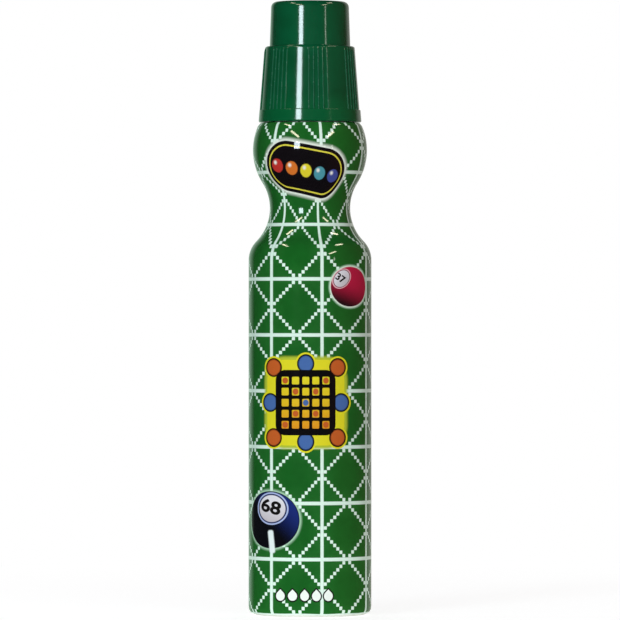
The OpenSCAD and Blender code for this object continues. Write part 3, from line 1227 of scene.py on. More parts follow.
@dataclass(frozen=True)
class StraightStretch:
    """The upright wall of the bottle's side."""

    radius: float
    low: float
    high: float

    @property
    def length(self) -> float:
        """Height of the wall."""
        return self.high - self.low

    def point(self, share: float, lift: float) -> Point:
        """The point at a share of the wall, lifted off it."""
        return (self.radius + lift, self.low + self.length * share)


@dataclass(frozen=True)
class BottleShape:
    """The bottle's own sizes and its side as one line of arcs."""

    body_r: float = 13.85
    straight_h: float = 81.0
    waist_r: float = 9.0
    bulb_r: float = 12.85
    shoulder_round: float = 6.0
    waist_round: float = 10.9
    bulb_round: float = 13.8
    bulb_rise: float = 6.0
    edge_round: float = 0.5
    heel_round: float = 2.0
    foot_ring_w: float = 1.6
    push_up: float = 1.6
    wall: float = 1.0
    neck_r: float = 8.1
    neck_wall: float = 1.4
    neck_h: float = 14.1
    neck_root_round: float = 1.0
    lip_round: float = 0.3

    @property
    def shoulder_turn(self) -> float:
        """Angle of the shoulder's arc, in degrees."""
        total = self.shoulder_round + self.waist_round
        return math.degrees(math.acos((total - (self.body_r - self.waist_r)) / total))

    @property
    def bulb_turn(self) -> float:
        """Angle of the bulb's arc below its widest ring, in degrees."""
        total = self.bulb_round + self.waist_round
        return math.degrees(math.acos((total - (self.bulb_r - self.waist_r)) / total))

    @property
    def edge_turn(self) -> float:
        """Angle of the bulb's arc above its widest ring, in degrees."""
        rise, reach = self.bulb_rise - self.edge_round, self.bulb_round - self.edge_round
        return math.degrees(math.asin(rise / reach))

    @property
    def waist_z(self) -> float:
        """Height of the waist."""
        total = self.shoulder_round + self.waist_round
        return self.straight_h + total * math.sin(math.radians(self.shoulder_turn))

    @property
    def bulb_z(self) -> float:
        """Height of the bulb's widest ring."""
        total = self.bulb_round + self.waist_round
        return self.waist_z + total * math.sin(math.radians(self.bulb_turn))

    @property
    def bulb_top_z(self) -> float:
        """Height of the flat under the cap."""
        return self.bulb_z + self.bulb_rise

    @property
    def lip_z(self) -> float:
        """Height of the neck's lip."""
        return self.bulb_top_z + self.neck_h

    @property
    def push_up_round(self) -> float:
        """Radius of the hollow under the base."""
        rim = self.body_r - self.heel_round - self.foot_ring_w
        return (rim ** 2 + self.push_up ** 2) / (2 * self.push_up)

    def side(self, heel_start: float, edge_end: float) -> list[ArcStretch | StraightStretch]:
        """The side from an angle of the heel to an angle of the bulb's edge.

        Args:
            heel_start: Angle of the heel at which the line starts, in degrees.
            edge_end: Angle of the edge at which it ends, in degrees.

        Returns:
            The stretches in order.
        """
        edge_c = (
            self.bulb_r - self.bulb_round
            + (self.bulb_round - self.edge_round) * math.cos(math.radians(self.edge_turn)),
            self.bulb_top_z - self.edge_round,
        )
        heel_c = (self.body_r - self.heel_round, self.heel_round)
        shoulder_c = (self.body_r - self.shoulder_round, self.straight_h)
        waist_c = (self.waist_r + self.waist_round, self.waist_z)
        bulb_c = (self.bulb_r - self.bulb_round, self.bulb_z)
        waist_start, waist_end = 180 + self.shoulder_turn, 180 - self.bulb_turn
        return [
            ArcStretch(heel_c, self.heel_round, heel_start, 0),
            StraightStretch(self.body_r, self.heel_round, self.straight_h),
            ArcStretch(shoulder_c, self.shoulder_round, 0, self.shoulder_turn),
            ArcStretch(waist_c, self.waist_round, waist_start, waist_end, hollow=True),
            ArcStretch(bulb_c, self.bulb_round, -self.bulb_turn, self.edge_turn),
            ArcStretch(edge_c, self.edge_round, self.edge_turn, edge_end),
        ]

    def base_z(self, r: float) -> float:
        """Height of the hollow under the base at a radius."""
        return self.push_up - self.push_up_round + math.sqrt(self.push_up_round ** 2 - r ** 2)


def walk(stretches: Sequence[ArcStretch | StraightStretch], along: float, lift: float) -> Point:
    """The point at a length along the side.

    Args:
        stretches: The side.
        along: Length from its start.
        lift: Distance off the side.

    Returns:
        The radius and height.
    """
    for stretch in stretches:
        if along <= stretch.length or stretch is stretches[-1]:
            return stretch.point(along / stretch.length, lift)
        along -= stretch.length
    raise ValueError("the side has no stretches")


@dataclass
class ThreadRidge:
    """A multi-start thread as helical ridges that run out at both ends."""

    wall_r: float
    crest_r: float
    low: float
    high: float
    lead: float = 9.0
    starts: int = 3
    foot_w: float = 1.3
    sunk: float = 0.12
    run_out: float = 24.0
    least_rise: float = 0.02
    crown_power: float = 3.2
    across: tuple[float, ...] = (-1.0, -0.78, -0.52, -0.26, 0.0, 0.26, 0.52, 0.78, 1.0)
    rings_per_turn: int = 96

    def build(self, name: str) -> Piece:
        """Sweeps the ridges.

        Args:
            name: The piece's name.

        Returns:
            The new object.
        """
        turn = 360 * (self.high - self.low) / self.lead
        count = round(self.rings_per_turn * turn / 360)
        root = self.wall_r - math.copysign(self.sunk, self.crest_r - self.wall_r)
        paths = []
        for start in range(self.starts):
            rings = []
            for i in range(count + 1):
                swept = turn * i / count
                angle = math.radians(swept + 360 * start / self.starts)
                height = self.low + self.lead * swept / 360
                rise = smooth_step(0, self.run_out, swept) * smooth_step(0, self.run_out, turn - swept)
                rise = max(rise, self.least_rise)
                ring = []
                for share in self.across:
                    crown = (1 - abs(share) ** self.crown_power) * rise
                    r = root + (self.crest_r - root) * crown
                    z = height + share * self.foot_w / 2
                    ring.append(polar(r, angle, z))
                rings.append(ring)
            paths.append(rings)
        return sweep(name, paths)


@dataclass
class Bottle(Assembly):
    """The blow-moulded bottle with its thread, pinch-off line and parting lines."""

    shape: BottleShape
    thread_low: float = 3.4
    thread_high: float = 11.6
    thread_crest_r: float = 9.1
    base_rings: tuple[float, ...] = (0.0, 2.5, 5.0, 7.5, 9.2, 10.0)
    inner_base_rings: tuple[float, ...] = (9.2, 6.0, 3.0, 0.0)
    seam_w: float = 0.5
    seam_h: float = 0.16
    seam_reach: float = 9.4
    seam_run_out: float = 1.6
    seam_sunk: float = 0.05
    parting_w: float = 0.35
    parting_h: float = 0.07
    parting_run_out: float = 0.8
    parting_sunk: float = 0.03
    least_rise: float = 0.02
    chord: float = 0.5
    least_chords: int = 6
    inner_chords: int = 10
    root_chords: int = 6
    lip_chords: int = 4
    segments: int = 160

    def outline(self) -> list[Point]:
        """The bottle's closed outline.

        Returns:
            Its points, outside from the base up and inside down again.
        """
        s = self.shape
        outside = [(r, s.base_z(r)) for r in self.base_rings]
        for stretch in s.side(-90, 90):
            steps = max(self.least_chords, round(stretch.length / self.chord))
            steps = 1 if isinstance(stretch, StraightStretch) else steps
            outside += [stretch.point(k / steps, 0.0) for k in range(steps + 1)]
        root_c = (s.neck_r + s.neck_root_round, s.bulb_top_z + s.neck_root_round)
        outside += arc(root_c, s.neck_root_round, 270, 180, self.root_chords)
        bore_r = s.neck_r - s.neck_wall
        lip_c = s.lip_z - s.lip_round
        outside += arc((s.neck_r - s.lip_round, lip_c), s.lip_round, 0, 90, self.lip_chords)
        inside = arc((bore_r + s.lip_round, lip_c), s.lip_round, 90, 180, self.lip_chords)
        inside.append((bore_r, s.bulb_top_z - s.wall))
        top_turn = math.degrees(math.asin((s.bulb_rise - s.wall) / (s.bulb_round - s.wall)))
        hidden = s.side(-90, s.edge_turn)[:-1]
        hidden[-1] = ArcStretch(hidden[-1].centre, hidden[-1].radius, -s.bulb_turn, top_turn)
        for stretch in reversed(hidden):
            steps = 1 if isinstance(stretch, StraightStretch) else self.inner_chords
            inside += [stretch.point(1 - k / steps, -s.wall) for k in range(steps + 1)]
        inside += [(r, s.base_z(r) + s.wall) for r in self.inner_base_rings]
        return without_repeats(outside + inside)

    def build(self) -> None:
        """Makes the bottle, its thread and its mould lines."""
        s = self.shape
        shell = turned("bottle_blown", self.outline(), self.segments)
        low, high = s.bulb_top_z + self.thread_low, s.bulb_top_z + self.thread_high
        thread = ThreadRidge(s.neck_r, self.thread_crest_r, low, high).build("bottle_thread")
        self.pieces = [shell, thread, self.pinch_off(), self.parting_lines()]

    def pinch_off(self) -> Piece:
        """Makes the line across the base where the mould closed on the tube.

        Returns:
            The new object.
        """
        steps, sides = 40, 8
        rings = []
        for i in range(steps + 1):
            x = self.seam_reach * (2 * i / steps - 1)
            surface = self.shape.base_z(abs(x))
            rise = smooth_step(0, self.seam_run_out, self.seam_reach - abs(x))
            taper = self.least_rise + (1 - self.least_rise) * rise
            ring = []
            for k in range(sides + 1):
                turn = math.pi * k / sides
                drop = self.seam_h * taper * math.sin(turn) - self.seam_sunk
                ring.append(Vector((x, self.seam_w / 2 * math.cos(turn), surface - drop)))
            rings.append(ring)
        return sweep("base_pinch_off", [rings])

    def parting_lines(self) -> Piece:
        """Makes the two lines on the neck where the halves of the mould met.

        Returns:
            The new object.
        """
        s = self.shape
        low = s.bulb_top_z + s.neck_root_round
        high = s.lip_z - s.lip_round
        steps, sides = 12, 6
        paths = []
        for side in (0.0, math.pi):
            rings = []
            for i in range(steps + 1):
                z = low + (high - low) * i / steps
                rise = smooth_step(0, self.parting_run_out, min(z - low, high - z))
                taper = self.least_rise + (1 - self.least_rise) * rise
                ring = []
                for k in range(sides + 1):
                    turn = math.pi * k / sides
                    angle = side + self.parting_w / 2 * math.cos(turn) / s.neck_r
                    crown = (self.parting_h + self.parting_sunk) * taper * math.sin(turn)
                    r = s.neck_r - self.parting_sunk + crown
                    ring.append(polar(r, angle, z))
                rings.append(ring)
            paths.append(rings)
        return sweep("neck_parting_lines", paths)

    def dress(self) -> None:
        """White HDPE all over."""
        for piece in self.pieces:
            nodes = ("bottle",) if piece.name == "bottle_blown" else ()
            fit(piece, BOTTLE_PLASTIC.make(), Body.BOTTLE, Slot.BOTTLE, *nodes)


@dataclass
class ShrinkSleeve(Assembly):
    """The printed film, shrunk over heel, body, waist and bulb, with its lap seam at the back."""

    shape: BottleShape
    gap: float = 0.03
    film_t: float = 0.12
    foot_rise: float = 0.7
    top_wrap: float = 75.0
    edge_wave: float = 0.14
    edge_waves: float = 2.3
    edge_share: float = 0.05
    ripple: float = 0.035
    ripple_mm: float = 11.0
    ripple_upright: float = 0.6
    lap_half: float = 2.2
    lap_fade: float = 0.2
    lap_t: float = 0.05
    row_mm: float = 0.75
    segments: int = 252
    print_step: float = 0.35
    halvings: int = 40
    rounds: int = 20
    slack: float = 0.81
    slack_from: float = 81.0
    slack_to: float = 88.0
    shifts: tuple[Point, ...] = (
        (-180.0, -1.5),
        (-115.0, 0.0),
        (-66.2, -0.5),
        (-38.5, -2.48),
        (-12.4, -2.86),
        (11.2, -0.75),
        (36.5, -0.34),
        (65.5, -3.62),
        (115.0, -3.6),
    )

    def print_turn(self, turn: float) -> float:
        """Angle in the flat print: the film shrank unevenly round the body.

        Args:
            turn: The angle from the front.

        Returns:
            The angle in the print, shifted by a smooth curve through the known shifts.
        """
        wrapped = (turn + 180) % 360 - 180
        knots = [
            *((angle - 360, shift) for angle, shift in self.shifts[-2:]),
            *self.shifts,
            *((angle + 360, shift) for angle, shift in self.shifts[:2]),
        ]
        k = max(i for i in range(1, len(knots) - 2) if knots[i][0] <= wrapped)
        (x0, y0), (x1, y1), (x2, y2), (x3, y3) = knots[k - 1:k + 3]
        span = x2 - x1
        t = (wrapped - x1) / span
        leave, arrive = (y2 - y0) / (x2 - x0) * span, (y3 - y1) / (x3 - x1) * span
        shift = (
            (2 * t ** 3 - 3 * t ** 2 + 1) * y1
            + (t ** 3 - 2 * t ** 2 + t) * leave
            + (3 * t ** 2 - 2 * t ** 3) * y2
            + (t ** 3 - t ** 2) * arrive
        )
        return turn + shift

    def body_turn(self, printed: float) -> float:
        """Angle from the front at which an angle of the flat print lies.

        Args:
            printed: The angle in the print.

        Returns:
            The angle from the front.
        """
        turn = printed
        for _ in range(self.rounds):
            turn = printed - (self.print_turn(turn) - turn)
        return turn

    @property
    def outer_r(self) -> float:
        """Radius over the film on the straight body."""
        return self.shape.body_r + self.gap + self.film_t

    @property
    def wrap_mm(self) -> float:
        """Length of the film round the straight body."""
        return math.tau * self.outer_r

    @property
    def heel_start(self) -> float:
        """Angle of the heel at the film's lower edge, in degrees."""
        heel = self.shape.heel_round
        return -math.degrees(math.asin((heel - self.foot_rise) / heel))

    def film_height(self, along: float) -> float:
        """Height in the flat print at a length along the side, equal to the height on the straight body."""
        return along - self.slack * smooth_step(self.slack_from, self.slack_to, along)

    def print_height(self, z: float) -> float:
        """Height in the flat print of a height on the sleeve.

        Args:
            z: The height on the sleeve.

        Returns:
            The height in the print.
        """
        stretches = self.shape.side(0.0, self.top_wrap)
        low, high = 0.0, sum(stretch.length for stretch in stretches)
        for _ in range(self.halvings):
            middle = (low + high) / 2
            if walk(stretches, middle, 0.0)[1] < z:
                low = middle
            else:
                high = middle
        return self.film_height(low + self.shape.heel_round)

    def uneven(self, angle: float, z: float) -> float:
        """How far the film stands off at a place: slow ripples, and the lap at the back.

        Args:
            angle: The angle round the axis, in radians.
            z: The height.

        Returns:
            The distance.
        """
        r = self.outer_r
        upright = z * self.ripple_upright
        place = polar(r, angle, upright) / self.ripple_mm
        ripple = self.ripple * (0.5 + 0.5 * noise.noise(place))
        from_back = abs(math.remainder(angle - FRONT - math.pi, math.tau)) * r
        lap_from, lap_to = self.lap_half - self.lap_fade, self.lap_half + self.lap_fade
        lap = self.lap_t * (1 - smooth_step(lap_from, lap_to, from_back))
        return ripple + lap

    def build(self) -> None:
        """Makes the film with its print coordinates."""
        stretches = self.shape.side(self.heel_start, self.top_wrap)
        total = sum(stretch.length for stretch in stretches)
        zero = self.shape.heel_round - stretches[0].length
        rows = round(total / self.row_mm)
        outer = self.gap + self.film_t

        def place(row: int, angle: float) -> Point:
            """Outer face on the way up, inner face on the way down.

            Args:
                row: The row of the outline.
                angle: The angle round the axis, in radians.

            Returns:
                The radius and height.
            """
            inside = row > rows
            share = (2 * rows + 1 - row if inside else row) / rows
            wave = noise.noise(polar(1.0, angle, 0.0) * self.edge_waves)
            start = self.edge_wave * wave * (1 - smooth_step(0.0, self.edge_share, share))
            along = start + (total - start) * share
            z = along + zero
            lift = (self.gap if inside else outer) + self.uneven(angle, z)
            return walk(stretches, along, lift)

        columns = even_columns(self.segments, FRONT + math.pi)
        sleeve = lathe("shrink_sleeve_film", 2 * rows + 2, columns, place)
        self.unwrap(sleeve.data, rows, total, zero)
        self.pieces = [sleeve]

    def unwrap(self, mesh: bpy.types.Mesh, rows: int, total: float, zero: float) -> None:
        """Gives the film its flat print coordinates in millimetres, and a neat map of its own for baking.

        The neat map holds the outer face below and the inner face in a narrow band above it.

        Args:
            mesh: The film's mesh, whose faces run round in columns, row after row.
            rows: The number of rows on one face of the film.
            total: The film's length along the side.
            zero: The print height of its lower edge.
        """
        neat = mesh.uv_layers.new(name="OFBake")
        flat = mesh.uv_layers.new(name="Print")
        outer_low, outer_h, inner_low, inner_h, top = 0.01, 0.8, 0.84, 0.14, 0.99
        left, across = 0.005, 0.99
        every = 2 * rows + 2
        for number, face in enumerate(mesh.polygons):
            row, column = divmod(number, self.segments)
            corners = ((column, row), (column + 1, row), (column + 1, row + 1), (column, row + 1))
            for loop, (k, i) in zip(face.loop_indices, corners):
                inside = row > rows or (row == rows and i > rows)
                level = (every - 1 - min(i, every - 1) if inside else min(i, rows)) / rows
                if row == every - 1:
                    level = 0.0
                u = self.print_turn(360 * k / self.segments - 180) / 360 * self.wrap_mm
                flat.data[loop].uv = (u, self.film_height(zero + total * level))
                band = inner_low + inner_h * i / every if row >= rows else outer_low + outer_h * i / rows
                neat.data[loop].uv = (left + across * k / self.segments, min(band, top))
        mesh.uv_layers.active = neat

    def on_film(self, flat: bmesh.types.BMesh, centre: Point, tilt: float) -> None:
        """Lays a flat shape on the straight body.

        Args:
            flat: The shape, x to the right, y up and z out of the film, in millimetres. It becomes metres.
            centre: Its centre on the flat print.
            tilt: Its turn to the left, in degrees.
        """
        xs = [v.co.x for v in flat.verts]
        x, end = min(xs) + self.print_step, max(xs)
        while x < end:
            parts = flat.verts[:] + flat.edges[:] + flat.faces[:]
            bmesh.ops.bisect_plane(flat, geom=parts, plane_co=(x, 0, 0), plane_no=(1, 0, 0))
            x += self.print_step
        cos, sin = math.cos(math.radians(tilt)), math.sin(math.radians(tilt))
        for v in flat.verts:
            u = centre[0] + v.co.x * cos - v.co.y * sin
            z = centre[1] + v.co.x * sin + v.co.y * cos
            angle = FRONT + math.radians(self.body_turn(360 * u / self.wrap_mm))
            r = self.outer_r + self.uneven(angle, z) + v.co.z
            v.co = polar(r, angle, z) * MM

    def motif_place(self, turn: float, height: float) -> Point:
        """Place on the flat print of an angle from the front, in degrees, and a print height."""
        return (self.print_turn(turn) / 360 * self.wrap_mm, height)

    def dress(self, film: PrintedFilm) -> None:
        """Prints the film."""
        for piece in self.pieces:
            fit(piece, film.make(), Body.BOTTLE, Slot.SLEEVE, "shrink_sleeve")


@dataclass
class PrintedNumber:
    """A plain number printed on a ball's patch, as a skin of ink on the film."""

    name: str
    digits: str
    centre: Point
    width: float
    height: float
    tilt: float
    bold: float = 0.03
    ink_t: float = 0.03
    resolution: int = 6
    weld: float = 1e-5

    def flat(self) -> bmesh.types.BMesh:
        """Makes the number lying flat, centred, at its own size.

        Returns:
            The mesh, in millimetres.
        """
        curve = bpy.data.curves.new(self.name, "FONT")
        curve.body = self.digits
        curve.offset = self.bold
        curve.extrude = self.ink_t / 2
        curve.resolution_u = self.resolution
        text = bpy.data.objects.new(self.name, curve)
        bpy.context.scene.collection.objects.link(text)
        mesh = bpy.data.meshes.new_from_object(text.evaluated_get(bpy.context.evaluated_depsgraph_get()))
        bpy.data.objects.remove(text)
        bpy.data.curves.remove(curve)
        made = bmesh.new()
        made.from_mesh(mesh)
        bpy.data.meshes.remove(mesh)
        bmesh.ops.remove_doubles(made, verts=made.verts, dist=self.weld)
        for axis, size in enumerate((self.width, self.height)):
            places = [v.co[axis] for v in made.verts]
            low, high = min(places), max(places)
            for v in made.verts:
                v.co[axis] = (v.co[axis] - (high + low) / 2) * size / (high - low)
        return made

    def build(self, sleeve: ShrinkSleeve) -> None:
        """Lays the number on the sleeve.

        Args:
            sleeve: The sleeve that carries it.
        """
        made = self.flat()
        sleeve.on_film(made, self.centre, self.tilt)
        mesh = bpy.data.meshes.new(self.name)
        made.to_mesh(mesh)
        made.free()
        fit(new_piece(self.name, mesh), BLACK_INK.make(), Body.BOTTLE, Slot.SLEEVE)


# Cap and seal


@dataclass
class ScrewCap(Assembly):
    """The stepped cap: a plain crown with a gate mark, a flared skirt with groups of grip ribs, a band.

    Half a rib's crest and its flank are given as shares of the ribs' pitch.
    """

    rim_z: float = 112.442
    rim_r: float = 11.75
    rim_wall: float = 1.25
    band_h: float = 2.8
    band_proud: float = 0.24
    step_z: float = 129.752
    step_r: float = 10.42
    step_round: float = 0.8
    crown_r: float = 9.2
    crown_draft: float = 0.36
    crown_round: float = 1.3
    top_z: float = 139.992
    top_t: float = 1.3
    rim_inner_round: float = 0.15
    rim_round: float = 0.32
    band_round: float = 0.1
    band_foot_round: float = 0.06
    crown_foot_round: float = 0.15
    ceiling_round: float = 0.5
    bore_round: float = 0.1
    flare_round: float = 0.8
    skirt_bore_r: float = 9.35
    crown_bore_r: float = 8.05
    seal_z: float = 128.392
    inner_flare_h: float = 4.0
    rib_groups: int = 7
    ribs_per_group: int = 5
    rib_places: int = 9
    rib_crest_half: float = 0.0833
    rib_flank: float = 0.1185
    rib_proud: float = 0.19
    rib_end_h: float = 0.25
    rib_fade_h: float = 1.2
    rib_start: float = -1.5
    rib_above: float = 0.02
    rib_end: float = 0.15
    rib_clear: float = 0.2
    rib_within: float = 0.05
    gate_r: float = 1.9
    gate_depth: float = 0.1
    gate_slope: float = 0.15
    gate_round: float = 0.08
    nub_r: float = 0.5
    nub_slope: float = 0.08
    nub_h: float = 0.06
    nub_round: float = 0.04
    thread_low: float = 117.0
    thread_high: float = 125.6
    thread_crest_r: float = 8.72

    def skirt_r(self, z: float) -> float:
        """Radius of the skirt over its band at a height."""
        return self.rim_r - (self.rim_r - self.step_r) * (z - self.rim_z) / (self.step_z - self.rim_z)

    def outline(self) -> list[Point]:
        """The cap's closed outline between its ribs.

        Returns:
            Its points, outside from the rim up and inside down again.
        """
        band_z = self.rim_z + self.band_h
        band_r = self.skirt_r(band_z)
        ribs_low, ribs_high = band_z + self.rib_end_h, self.step_z - self.rib_fade_h
        ceiling_z = self.top_z - self.top_t
        gate_z = self.top_z - self.gate_depth
        return rounded(
            [
                (self.rim_r - self.rim_wall, self.rim_z, self.rim_inner_round),
                (self.rim_r, self.rim_z, self.rim_round),
                (band_r, band_z, self.band_round),
                (band_r - self.band_proud, band_z, self.band_foot_round),
                (self.skirt_r(ribs_low) - self.band_proud, ribs_low, 0.0),
                (self.skirt_r(ribs_high) - self.band_proud, ribs_high, 0.0),
                (self.step_r - self.band_proud, self.step_z, self.step_round),
                (self.crown_r, self.step_z, self.crown_foot_round),
                (self.crown_r - self.crown_draft, self.top_z, self.crown_round),
                (self.gate_r, self.top_z, self.gate_round),
                (self.gate_r - self.gate_slope, gate_z, self.gate_round),
                (self.nub_r, gate_z, self.nub_round),
                (self.nub_r - self.nub_slope, gate_z + self.nub_h, self.nub_round),
                (0.0, gate_z + self.nub_h, 0.0),
                (0.0, ceiling_z, 0.0),
                (self.crown_bore_r - self.crown_draft, ceiling_z, self.ceiling_round),
                (self.crown_bore_r, self.seal_z, self.bore_round),
                (self.skirt_bore_r, self.seal_z, self.bore_round),
                (self.skirt_bore_r, self.rim_z + self.inner_flare_h, self.flare_round),
            ]
        )

    @property
    def first_rib(self) -> float:
        """Angle of the first rib, in radians."""
        return FRONT + math.radians(self.rib_start)

    @property
    def rib_pitch(self) -> float:
        """Angle from one place for a rib to the next, in radians."""
        return math.tau / (self.rib_groups * self.rib_places)

    def columns(self) -> list[float]:
        """Angles of the mesh's columns.

        Returns:
            The edges of each rib's crest and flanks, and two more before the next rib.
        """
        crest, foot = self.rib_crest_half, self.rib_crest_half + self.rib_flank
        third = (1 - 2 * foot) / 3
        offsets = (-foot, -crest, crest, foot, foot + third, foot + 2 * third)
        places = range(self.rib_groups * self.rib_places)
        return [self.first_rib + self.rib_pitch * (k + offset) for k in places for offset in offsets]

    def rib_rise(self, angle: float) -> float:
        """How far the ribs stand out: a flat crest between straight flanks.

        Args:
            angle: The angle round the axis, in radians.

        Returns:
            The distance.
        """
        place = (angle - self.first_rib) / self.rib_pitch
        nearest = round(place)
        if nearest % self.rib_places >= self.ribs_per_group:
            return 0.0
        past_crest = abs(place - nearest) - self.rib_crest_half
        return self.rib_proud * min(1.0, max(0.0, 1 - past_crest / self.rib_flank))

    def build(self) -> None:
        """Makes the cap and its thread."""
        outline = self.outline()
        lowest = self.rim_z + self.band_h - self.rib_above
        fade_from, fade_to = self.step_z - self.rib_fade_h, self.step_z - self.rib_end

        def place(row: int, angle: float) -> Point:
            """The outline, with the ribs on its skirt.

            Args:
                row: The row of the outline.
                angle: The angle round the axis, in radians.

            Returns:
                The radius and height.
            """
            r, z = outline[row]
            outmost = self.skirt_r(z) - self.band_proud + self.rib_within
            if z < lowest or not self.crown_r + self.rib_clear <= r <= outmost:
                return (r, z)
            return (r + (1 - smooth_step(fade_from, fade_to, z)) * self.rib_rise(angle), z)

        shell = lathe("cap_shell", len(outline), self.columns(), place)
        thread = ThreadRidge(
            self.skirt_bore_r, self.thread_crest_r, self.thread_low, self.thread_high
        ).build("cap_thread")
        self.pieces = [shell, thread]

    def dress(self) -> None:
        """Green polypropylene all over, worn on the ribs, with a painted paler sheen on their crests and a
        painted glow towards the rim.
        """
        # Moulded in a polished tool: deep colour and sharp reflections, with duller ribs whose crests carry a
        # painted paler sheen.
        band_z = self.rim_z + self.band_h
        plastic = RubbedSheenPlastic(
            "Polypropylene, injection moulded, dark green",
            colour="#044c2b",
            ior=1.49,
            roughness=0.105,
            cloud="#055633",
            roughness_swing=0.02,
            shine=0.65,
            low_mm=(self.skirt_r(band_z) - self.band_proud, band_z),
            high_mm=(self.step_r - self.band_proud, self.step_z),
        )
        for piece in self.pieces:
            nodes = ("cap",) if piece.name == "cap_shell" else ()
            fit(piece, plastic.make(), Body.CAP, Slot.CAP, *nodes)


@dataclass
class SealWasher(Assembly):
    """The die-cut washer under the cap's step."""

    inner_r: float = 8.1
    outer_r: float = 9.3
    low: float = 127.392
    high: float = 128.392
    edge: float = 0.12

    def build(self) -> None:
        """Turns the washer."""
        corners = [
            (self.outer_r, self.low, self.edge),
            (self.outer_r, self.high, self.edge),
            (self.inner_r, self.high, self.edge),
            (self.inner_r, self.low, self.edge),
        ]
        self.pieces = [turned("seal_washer", rounded(corners))]

    def dress(self) -> None:
        """Pale foam."""
        for piece in self.pieces:
            fit(piece, GASKET_FOAM.make(), Body.SEAL, Slot.GASKET, "cap_gasket")


# Nib, holder and valve


@dataclass
class NibHolder(Assembly):
    """The fitment pressed into the neck: plug, flange, collar round the nib and web with the valve seat."""

    plug_r: float = 6.66
    plug_bore_r: float = 5.66
    plug_z: float = 114.192
    lip_z: float = 126.192
    flange_r: float = 8.6
    flange_t: float = 1.2
    collar_r: float = 7.65
    collar_bore_r: float = 6.95
    collar_h: float = 4.0
    stop_z: float = 126.892
    web_z: float = 121.492
    web_t: float = 1.2
    port_r: float = 2.1
    seat_r: float = 3.2
    seat_h: float = 0.7
    ease: float = 0.3
    plug_round: float = 0.25
    plug_inner_round: float = 0.2
    flange_low_round: float = 0.15
    stop_round: float = 0.1
    bore_round: float = 0.15
    port_round: float = 0.1
    seat_round: float = 0.05

    def build(self) -> None:
        """Turns the holder with eased edges."""
        flange_top = self.lip_z + self.flange_t
        collar_top = flange_top + self.collar_h
        web_top = self.web_z + self.web_t
        corners = [
            (self.plug_r, self.plug_z, self.plug_round),
            (self.plug_r, self.lip_z, 0.0),
            (self.flange_r, self.lip_z, self.flange_low_round),
            (self.flange_r, flange_top, self.ease),
            (self.collar_r, flange_top, self.ease),
            (self.collar_r, collar_top, self.ease),
            (self.collar_bore_r, collar_top, self.ease),
            (self.collar_bore_r, self.stop_z, self.stop_round),
            (self.plug_bore_r, self.stop_z, self.bore_round),
            (self.plug_bore_r, web_top, self.ease),
            (self.port_r, web_top, self.port_round),
            (self.port_r, self.web_z + self.seat_h, self.seat_round),
            (self.seat_r, self.web_z, self.seat_round),
            (self.plug_bore_r, self.web_z, self.ease),
            (self.plug_bore_r, self.plug_z, self.plug_inner_round),
        ]
        self.pieces = [turned("nib_holder_moulded", rounded(corners))]

    def dress(self) -> None:
        """Natural LDPE."""
        for piece in self.pieces:
            fit(piece, HOLDER_PLASTIC.make(), Body.BOTTLE, Slot.HOLDER, "nib_holder")


